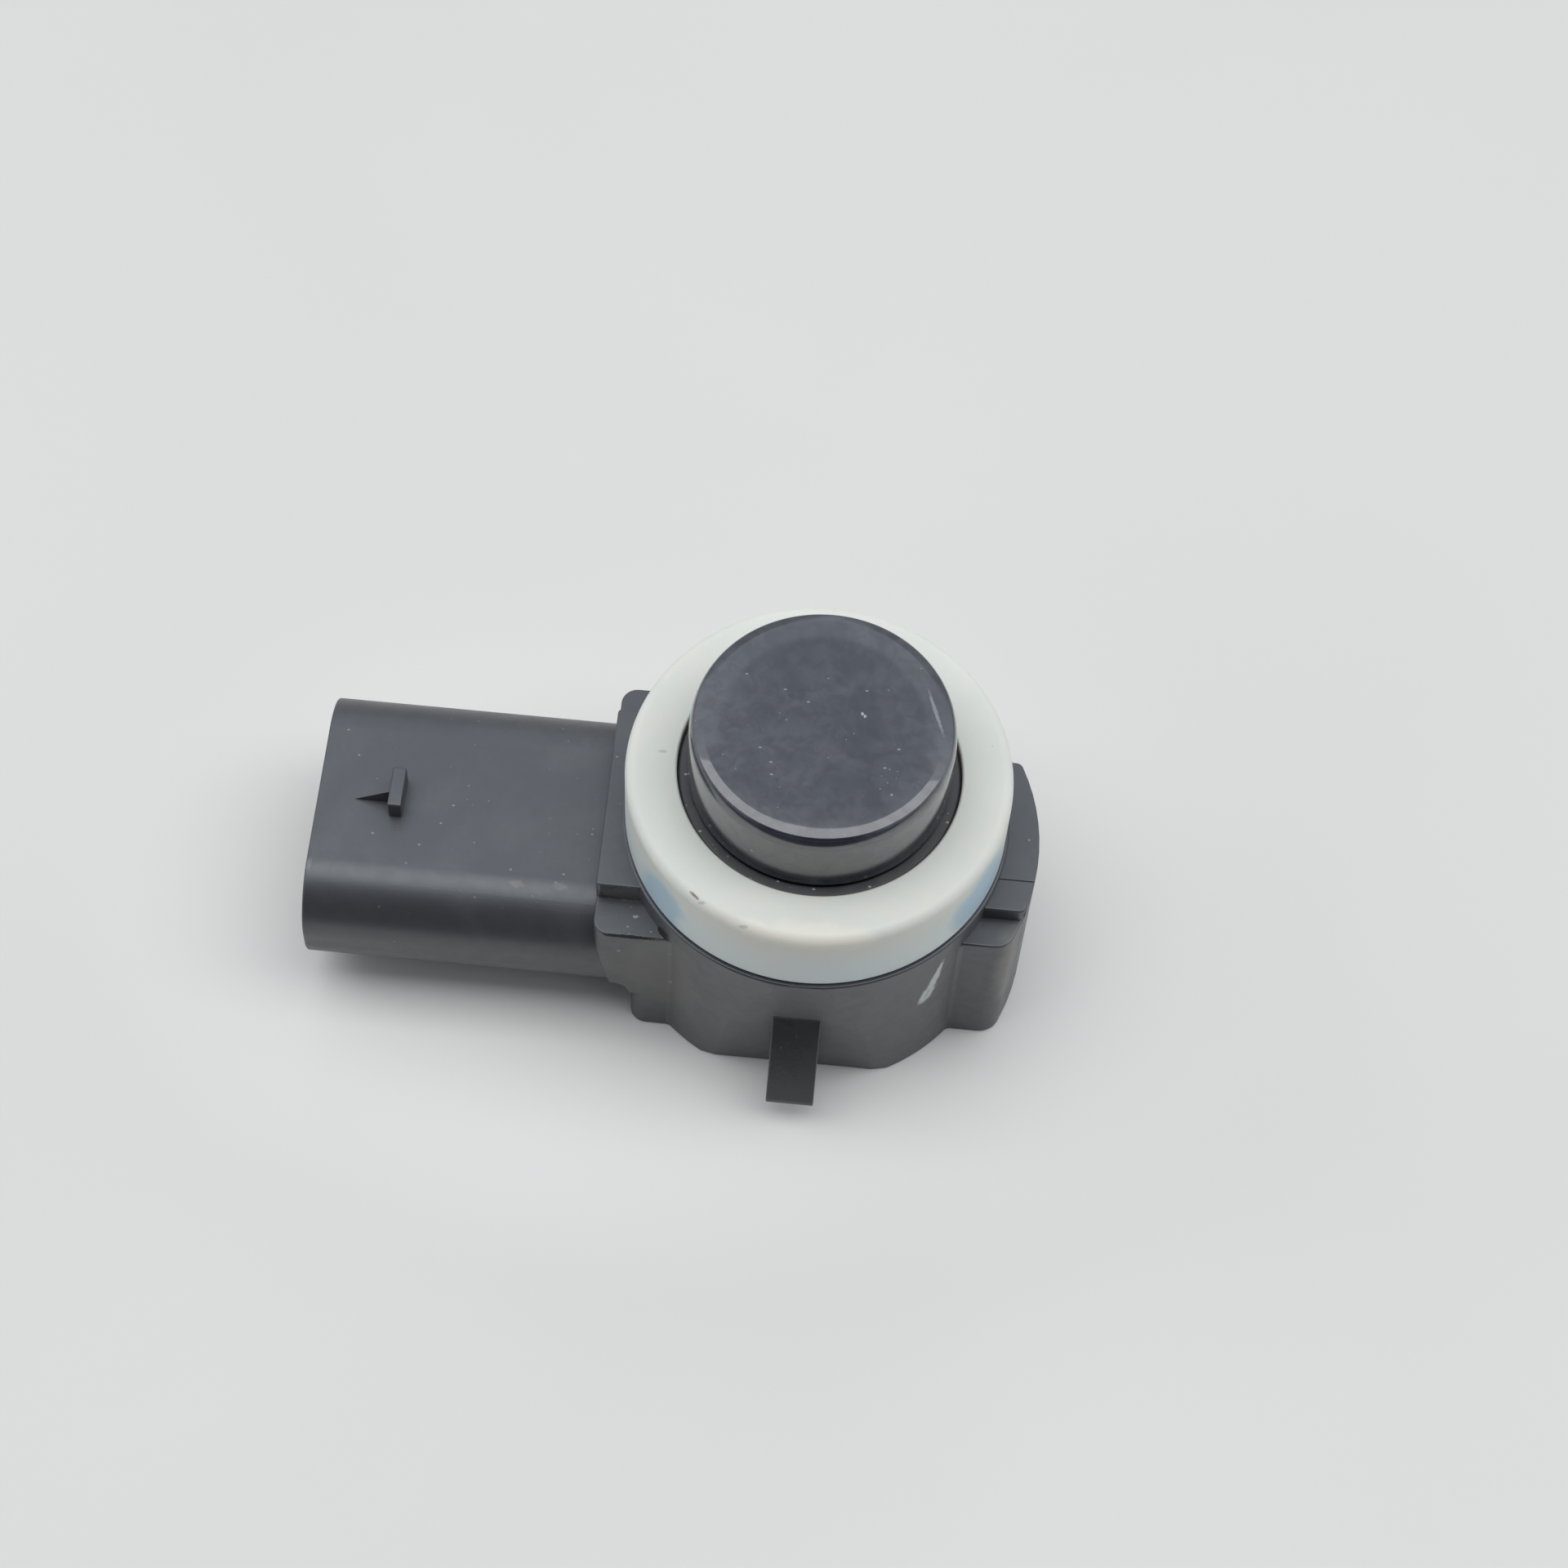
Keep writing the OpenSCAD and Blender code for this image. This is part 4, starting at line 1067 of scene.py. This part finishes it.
def satin_plastic():
    """Moulded black plastic with a fine grain, dirt, dust, a pale scuff, cracks and worn places, with painted
    light on two walls, a painted reflection on a bar's end and painted shade on the latch noses.
    """
    material, tree, shader, place = start_finish("satin_black_plastic")
    cloud = masked(tree, smudges, Place=place, Scale=150.0, Low=0.35, High=0.72)
    mottle = masked(tree, smudges, Place=place, Scale=1100.0, Low=0.3, High=0.75)
    colour = mixed(tree, cloud, PLASTIC_DARK, PLASTIC_LIGHT)
    colour = tinted(tree, colour, mottle, PLASTIC_MOTTLE, share=0.35)
    colour = plastic_smears_and_light(tree, place, colour)
    # Painted shade: the latch noses turn darker and a little glossier
    nose_shade = shaded_noses(tree, place)
    colour = mixed(tree, nose_shade, colour, NOSE_SHADE_TONE)
    broken = plastic_cracks(tree, place)
    worn_edge = several_marks(tree, place, WORN_EDGES, WORN_EDGE_REACH, ragged=0.7)
    bare = strongest(tree, broken, scaled(tree, worn_edge, share=0.9))
    colour = mixed(tree, bare, colour, BARE_TONE)
    colour = mixed(tree, plastic_dust(tree, place), colour, PLASTIC_DUST)
    worn_mouth = single_mark(tree, place, MOUTH_WEAR, MOUTH_WEAR_REACH, ragged=0.9)
    colour = tinted(tree, colour, worn_mouth, MOUTH_WEAR_TONE, share=0.35)
    scuff = plastic_scuff(tree, place)
    colour = mixed(tree, scuff, colour, SCUFF_TONE)
    core = single_mark(
        tree, place, SCUFF_FOOT, SCUFF_CORE_REACH, ragged=0.9, axis=SCUFF_FACING, turn=SCUFF_TURN)
    colour = tinted(tree, colour, core, SCUFF_CORE_TONE, share=0.5)
    tree.links.new(colour, shader["Base Color"])
    roughness = summed(tree, 0.35, (cloud, 0.07), (scuff, 0.2), (mottle, 0.04), (bare, 0.5), (nose_shade, -0.1))
    tree.links.new(roughness, shader["Roughness"])
    shader["Specular IOR Level"].default_value = 0.9
    shader["Specular Tint"].default_value = (0.93, 0.965, 1.0, 1.0)
    height = masked(tree, grain, Place=place, Scale=5200.0)
    set_bump(tree, shader, summed(tree, height, (broken, -15.0)), depth=0.004 * MM)
    return material


def slate_paint():
    """Dark slate paint under a glossy coat, with smudges, specks and a painted highlight as a pale streak at
    the rim.
    """
    material, tree, shader, place = start_finish("slate_paint")
    cloud = masked(tree, smudges, Place=place, Scale=260.0, Low=0.3, High=0.75)
    mottle = masked(tree, smudges, Place=place, Scale=1200.0, Low=0.3, High=0.75)
    colour = mixed(tree, cloud, PAINT_DARK, PAINT_LIGHT)
    colour = tinted(tree, colour, mottle, PAINT_MOTTLE, share=0.8)
    film = masked(tree, dust, Place=place, Cells=2300.0, Share=0.2, Size=0.17)
    specks = several_marks(tree, place, PAINT_SPECKS, PAINT_SPECK_REACH, ragged=1.4)
    flecks = several_marks(tree, place, PAINT_FLECKS, PAINT_FLECK_REACH, ragged=1.6)
    pale = strongest(
        tree, scaled(tree, film, share=0.3), scaled(tree, specks, share=0.5), scaled(tree, flecks, share=0.9))
    colour = mixed(tree, pale, colour, PAINT_DUST)
    # Painted highlight: a pale streak at the rim, with less coat
    rim_highlight = single_mark(tree, place, RIM_HIGHLIGHT, RIM_HIGHLIGHT_REACH, ragged=1.0, turn=RIM_HIGHLIGHT_TURN)
    colour = tinted(tree, colour, rim_highlight, RIM_HIGHLIGHT_TONE, share=0.75)
    tree.links.new(colour, shader["Base Color"])
    tree.links.new(summed(tree, 0.24, (cloud, 0.12)), shader["Roughness"])
    clean = ranged(tree, strongest(tree, pale, rim_highlight), low=0.0, high=1.0, start=1.0, end=0.3)
    even = ranged(tree, mottle, low=0.0, high=1.0, start=1.0, end=0.9)
    tree.links.new(scaled(tree, clean, even), shader["Coat Weight"])
    shader["Coat Roughness"].default_value = 0.06
    shader["Coat IOR"].default_value = 1.6
    set_bump(tree, shader, masked(tree, grain, Place=place, Scale=1500.0), depth=0.0012 * MM)
    return material


def wall_shade_patches(tree, place):
    """Mask of two darker bluish patches of painted shade low on the white ring's wall."""
    left = single_mark(tree, place, WALL_SHADE_LEFT, WALL_SHADE_LEFT_REACH, ragged=1.0)
    right = single_mark(tree, place, WALL_SHADE_RIGHT, WALL_SHADE_RIGHT_REACH, ragged=1.0)
    return strongest(tree, left, right)


def milky_silicone():
    """Milky silicone whose wall turns bluish with painted shade, with painted warm light on its near edge, a
    brown nick and faint marks.
    """
    material, tree, shader, place = start_finish("milky_silicone")
    cloud = masked(tree, smudges, Place=place, Scale=130.0, Low=0.25, High=0.8)
    blush = masked(tree, smudges, Place=place, Scale=230.0, Low=0.45, High=0.75)
    colour = mixed(tree, cloud, MILKY_DARK, MILKY_LIGHT)
    colour = tinted(tree, colour, blush, MILKY_BLUSH, share=0.4)
    # Painted light: a lighter cream band on the ring's near edge
    cream_light = single_mark(tree, place, CREAM_EDGE_LIGHT, CREAM_LIGHT_REACH, ragged=1.0)
    colour = tinted(tree, colour, cream_light, CREAM_LIGHT_TONE, share=0.6)
    # Painted shade: the ring's wall turns bluish between two heights
    shaded_wall = ranged(tree, parts_of(tree, place)["Z"], WALL_SHADE_TOP, WALL_SHADE_FOOT)
    clouded = ranged(tree, cloud, low=0.0, high=1.0, start=0.35, end=0.75)
    colour = mixed(tree, scaled(tree, shaded_wall, clouded), colour, WALL_SHADE_TONE)
    # Painted shade: two darker bluish patches low on the wall
    colour = tinted(tree, colour, wall_shade_patches(tree, place), WALL_SHADE_PATCH_TONE, share=0.85)
    faint = several_marks(tree, place, RING_MARKS, RING_MARK_REACH, ragged=0.9)
    colour = tinted(tree, colour, faint, RING_MARK_TONE, share=0.5)
    nick = single_mark(tree, place, RING_NICK, NICK_REACH, ragged=1.3, turn=NICK_TURN)
    colour = tinted(tree, colour, nick, NICK_TONE, share=0.85)
    film = masked(tree, dust, Place=place, Cells=1500.0, Share=0.08, Size=0.13)
    colour = tinted(tree, colour, film, RING_DUST, share=0.4)
    tree.links.new(colour, shader["Base Color"])
    tree.links.new(ranged(tree, cloud, low=0.0, high=1.0, start=0.42, end=0.56), shader["Roughness"])
    shader["Specular IOR Level"].default_value = 0.4
    shader["Subsurface Weight"].default_value = 0.2
    shader["Subsurface Scale"].default_value = 0.8 * MM
    set_bump(tree, shader, masked(tree, grain, Place=place, Scale=1900.0), depth=0.004 * MM)
    return material


def soft_black():
    """Dull black silicone that holds dust and lint."""
    material, tree, shader, place = start_finish("black_silicone")
    cloud = masked(tree, smudges, Place=place, Scale=420.0, Low=0.3, High=0.75)
    film = masked(tree, dust, Place=place, Cells=2600.0, Share=0.5, Size=0.24)
    lint = several_marks(tree, place, SLEEVE_LINT, LINT_REACH, ragged=0.9)
    colour = mixed(tree, cloud, SLEEVE_DARK, SLEEVE_LIGHT)
    colour = mixed(tree, strongest(tree, scaled(tree, film, share=0.35), lint), colour, SLEEVE_DUST)
    tree.links.new(colour, shader["Base Color"])
    tree.links.new(ranged(tree, cloud, low=0.0, high=1.0, start=0.5, end=0.66), shader["Roughness"])
    set_bump(tree, shader, masked(tree, grain, Place=place, Scale=4000.0), depth=0.006 * MM)
    return material


def inner_finish(name, dark, light, roughness, relief, stretch=(1, 1, 1), metallic=0.0):
    """Finish of an inner piece: two tones in soft patches and a grain, drawn out where stretched."""
    material, tree, shader, place = start_finish(name)
    drawn = add(tree, "ShaderNodeMapping", {"Vector": place, "Scale": stretch}).outputs[0]
    cloud = masked(tree, smudges, Place=drawn, Scale=500.0, Low=0.3, High=0.75)
    tree.links.new(mixed(tree, cloud, dark, light), shader["Base Color"])
    tree.links.new(ranged(tree, cloud, 0.0, 1.0, *roughness), shader["Roughness"])
    shader["Metallic"].default_value = metallic
    set_bump(tree, shader, masked(tree, grain, Place=drawn, Scale=4200.0), relief)
    return material


def bands(tree, place, period, direction):
    """Even bands across one axis."""
    values = {"Vector": place, "Scale": math.tau / (WAVE_RADIANS * period)}
    return add(tree, "ShaderNodeTexWave", values, wave_type="BANDS", bands_direction=direction).outputs[1]


def board_laminate():
    """Green solder lacquer over a glass weave."""
    material, tree, shader, place = start_finish("board_laminate")
    weave = scaled(tree, bands(tree, place, WEAVE, "X"), bands(tree, place, WEAVE, "Y"))
    cloud = masked(tree, smudges, Place=place, Scale=380.0, Low=0.3, High=0.75)
    colour = mixed(tree, weave, LACQUER_DARK, LACQUER_LIGHT)
    tree.links.new(tinted(tree, colour, cloud, LACQUER_CLOUD, share=0.3), shader["Base Color"])
    tree.links.new(ranged(tree, cloud, low=0.0, high=1.0, start=0.28, end=0.4), shader["Roughness"])
    set_bump(tree, shader, weave, depth=0.004 * MM)
    return material


def enamel_wire():
    """Copper wire under enamel, wound turn on turn."""
    material, tree, shader, place = start_finish("enamel_wire")
    turns = bands(tree, place, WIRE_TURN, "Z")
    cloud = masked(tree, smudges, Place=place, Scale=700.0, Low=0.3, High=0.75)
    colour = mixed(tree, turns, ENAMEL_DARK, ENAMEL_LIGHT)
    tree.links.new(tinted(tree, colour, cloud, ENAMEL_CLOUD, share=0.3), shader["Base Color"])
    tree.links.new(ranged(tree, cloud, low=0.0, high=1.0, start=0.25, end=0.4), shader["Roughness"])
    shader["Metallic"].default_value = 0.7
    set_bump(tree, shader, turns, depth=0.03 * MM)
    return material


def dress(piece, material):
    piece.data.materials.clear()
    piece.data.materials.append(material)


def pale_floor():
    """Pale table top, palest in a painted pool of light near the object that offsets its shade, evenly pale
    to the camera, with soft uneven patches.
    """
    material, tree, shader, place = start_finish("pale_floor")
    cloud = masked(tree, smudges, Place=place, Scale=14.0, Low=0.2, High=0.8)
    side = ranged(tree, parts_of(tree, place)["Y"], *FLOOR_SIDE_EDGES)
    # Painted light: a paler pool of floor near the object, darker past it
    past_painted_pool = strongest(tree, side, ranged(tree, length_of(tree, place), *FLOOR_ROUND_EDGES))
    tone = mixed(tree, past_painted_pool, FLOOR_PAINTED_POOL, FLOOR_FAR)
    oval = vectors(tree, "MULTIPLY", vectors(tree, "SUBTRACT", place, FLOOR_SEEN_MIDDLE), FLOOR_SEEN_SHAPE)
    seen = add(tree, "ShaderNodeLightPath").outputs["Is Camera Ray"]
    open_table = scaled(tree, seen, ranged(tree, length_of(tree, oval), *FLOOR_SEEN_EDGES))
    tone = mixed(tree, open_table, tone, FLOOR_SEEN)
    tone = tinted(tree, tone, cloud, FLOOR_PATCH, share=0.12)
    tree.links.new(tone, shader["Base Color"])
    shader["Roughness"].default_value = 0.9
    shader["Specular IOR Level"].default_value = 0.0
    return material


def shade_card():
    """Dark card on the table in front of the object, seen in its reflections only: painted shade that stands
    in for the shaded table in front.
    """
    clear_selection()
    bpy.ops.mesh.primitive_plane_add(size=1, location=(0, CARD_START - CARD_LENGTH / 2, 0))
    card = bpy.context.object
    card.name = "shade_card"
    card.scale = (CARD_WIDTH, CARD_LENGTH, 1)
    bpy.ops.object.transform_apply(location=True, rotation=False, scale=True)
    card.visible_camera = False
    card.visible_diffuse = False
    card.visible_shadow = False
    material, tree, shader, place = start_finish("shade_card")
    cloud = masked(tree, smudges, Place=place, Scale=30.0, Low=0.2, High=0.8)
    tree.links.new(mixed(tree, cloud, CARD_SHADE_TONE, SKY_NEAR), shader["Base Color"])
    dress(card, material)


def soft_room():
    """Sky in soft zones from a dark near side to a bright far band, and one pale tone to the camera."""
    world = bpy.data.worlds.new("soft_room")
    world.use_nodes = True
    tree = world.node_tree
    way = parts_of(tree, add(tree, "ShaderNodeTexCoord").outputs["Generated"])
    zone = summed(tree, way["Y"], (maths(tree, "ABSOLUTE", way["X"]), SKY_SIDE_SHARE))
    sky = mixed(tree, ranged(tree, zone, *SKY_NEAR_EDGES), SKY_NEAR, SKY_MIDDLE)
    sky = mixed(tree, ranged(tree, zone, *SKY_BAND_EDGES), sky, SKY_BAND)
    sky = mixed(tree, ranged(tree, zone, *SKY_FAR_EDGES), sky, SKY_FAR)
    seen = add(tree, "ShaderNodeLightPath").outputs["Is Camera Ray"]
    tree.links.new(mixed(tree, seen, sky, FLOOR_LIGHT), tree.nodes["Background"].inputs["Color"])
    bpy.context.scene.world = world


def softbox(name, place, aim, width, depth, radiance):
    light = bpy.data.lights.new(name, "AREA")
    light.shape = "RECTANGLE"
    light.size = width
    light.size_y = depth
    light.energy = radiance * math.pi * width * depth
    lamp = bpy.data.objects.new(name, light)
    lamp.location = place
    lamp.rotation_euler = (Vector(aim) - Vector(place)).to_track_quat("-Z", "Y").to_euler()
    bpy.context.scene.collection.objects.link(lamp)


def studio():
    bpy.context.scene.view_settings.view_transform = "Standard"
    clear_selection()
    bpy.ops.mesh.primitive_plane_add(size=FLOOR_SIZE, location=(0, 0, -FLOOR_GAP))
    floor = bpy.context.object
    floor.name = "floor"
    dress(floor, pale_floor())
    shade_card()
    soft_room()
    softbox("overhead_strip", STRIP_PLACE, (0, STRIP_PLACE[1], 0), STRIP_WIDTH, STRIP_DEPTH, STRIP_LEVEL)


def photo_camera():
    back = Vector((
        math.sin(VIEW_TURN) * math.cos(VIEW_RISE),
        -math.cos(VIEW_TURN) * math.cos(VIEW_RISE),
        math.sin(VIEW_RISE)))
    right = Vector((math.cos(VIEW_TURN), math.sin(VIEW_TURN), 0))
    up = back.cross(right)
    across = right * math.cos(VIEW_ROLL) + up * math.sin(VIEW_ROLL)
    upright = up * math.cos(VIEW_ROLL) - right * math.sin(VIEW_ROLL)
    lens = bpy.data.cameras.new("photo_camera")
    lens.sensor_width = SENSOR_WIDTH
    lens.sensor_fit = "HORIZONTAL"
    lens.lens = FOCAL_PIXELS / FRAME_PIXELS * SENSOR_WIDTH
    lens.clip_start = CLIP_START
    camera = bpy.data.objects.new("photo_camera", lens)
    turn = Matrix((across, upright, back)).transposed().to_4x4()
    camera.matrix_world = Matrix.Translation(VIEW_TARGET + back * VIEW_DISTANCE) @ turn
    bpy.context.scene.collection.objects.link(camera)
    bpy.context.scene.camera = camera


def place_piece(piece, material, node):
    """Dresses a modelled piece and puts it in the place of its CAD node."""
    dress(piece, material)
    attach(piece, "root")
    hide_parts(node)
    return piece


grain = grain_group()
smudges = smudge_group()
dust = dust_group()
mark = mark_group()

photo_camera()
studio()

plastic = satin_plastic()
place_piece(white_ring(), milky_silicone(), "decoupling_ring")
place_piece(black_sleeve(), soft_black(), "pot_sleeve")
place_piece(painted_pot(), slate_paint(), "membrane_pot")
place_piece(moulded_housing(), plastic, "housing")

carrier_plastic = inner_finish(
    "carrier_plastic", dark=(0.04, 0.04, 0.044), light=(0.06, 0.06, 0.064), roughness=(0.4, 0.55),
    relief=0.004 * MM)
tinned = inner_finish(
    "tinned_contact", dark=(0.66, 0.65, 0.62), light=(0.8, 0.79, 0.76), roughness=(0.22, 0.4),
    relief=0.002 * MM, stretch=(0.1, 1, 1), metallic=1.0)
wire_sheath = inner_finish(
    "wire_sheath", dark=(0.26, 0.03, 0.022), light=(0.34, 0.05, 0.04), roughness=(0.4, 0.55),
    relief=0.003 * MM)
chip_resin = inner_finish(
    "chip_resin", dark=(0.024, 0.024, 0.026), light=(0.04, 0.04, 0.043), roughness=(0.5, 0.7),
    relief=0.006 * MM)
ferrite = inner_finish(
    "ferrite", dark=(0.05, 0.05, 0.054), light=(0.085, 0.083, 0.085), roughness=(0.6, 0.8),
    relief=0.008 * MM)
capacitor_resin = inner_finish(
    "capacitor_resin", dark=(0.58, 0.36, 0.06), light=(0.7, 0.46, 0.1), roughness=(0.4, 0.55),
    relief=0.004 * MM)
piezo_ceramic = inner_finish(
    "piezo_ceramic", dark=(0.66, 0.6, 0.45), light=(0.76, 0.7, 0.54), roughness=(0.5, 0.65),
    relief=0.004 * MM)
foam_finish = inner_finish(
    "damping_foam", dark=(0.11, 0.11, 0.12), light=(0.2, 0.2, 0.21), roughness=(0.8, 0.95),
    relief=0.06 * MM)
foam = place_piece(foam_disc(), foam_finish, "damping_foam")

inner_pieces = {
    "rear_cover": plastic,
    "piezo_disc": piezo_ceramic,
    "contact_carrier": carrier_plastic,
    "contact_pin_signal": tinned,
    "contact_pin_ground": tinned,
    "signal_wire": wire_sheath,
    "ground_wire": wire_sheath,
    "circuit_board": board_laminate(),
    "sensor_chip": chip_resin,
    "transformer_core": ferrite,
    "transformer_bobbin": carrier_plastic,
    "transformer_winding": enamel_wire(),
    "storage_capacitor": capacitor_resin,
    "ceramic_capacitors": piezo_ceramic,
    "chip_resistors": chip_resin,
    "protection_diode": chip_resin,
    "terminal_1": tinned,
    "terminal_2": tinned,
    "terminal_3": tinned,
}
for node, material in inner_pieces.items():
    dress(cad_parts[node], material)
for node in ("rear_cover", "terminal_1", "terminal_2", "terminal_3", "sensor_chip", "storage_capacitor"):
    soften_small_edges(node)
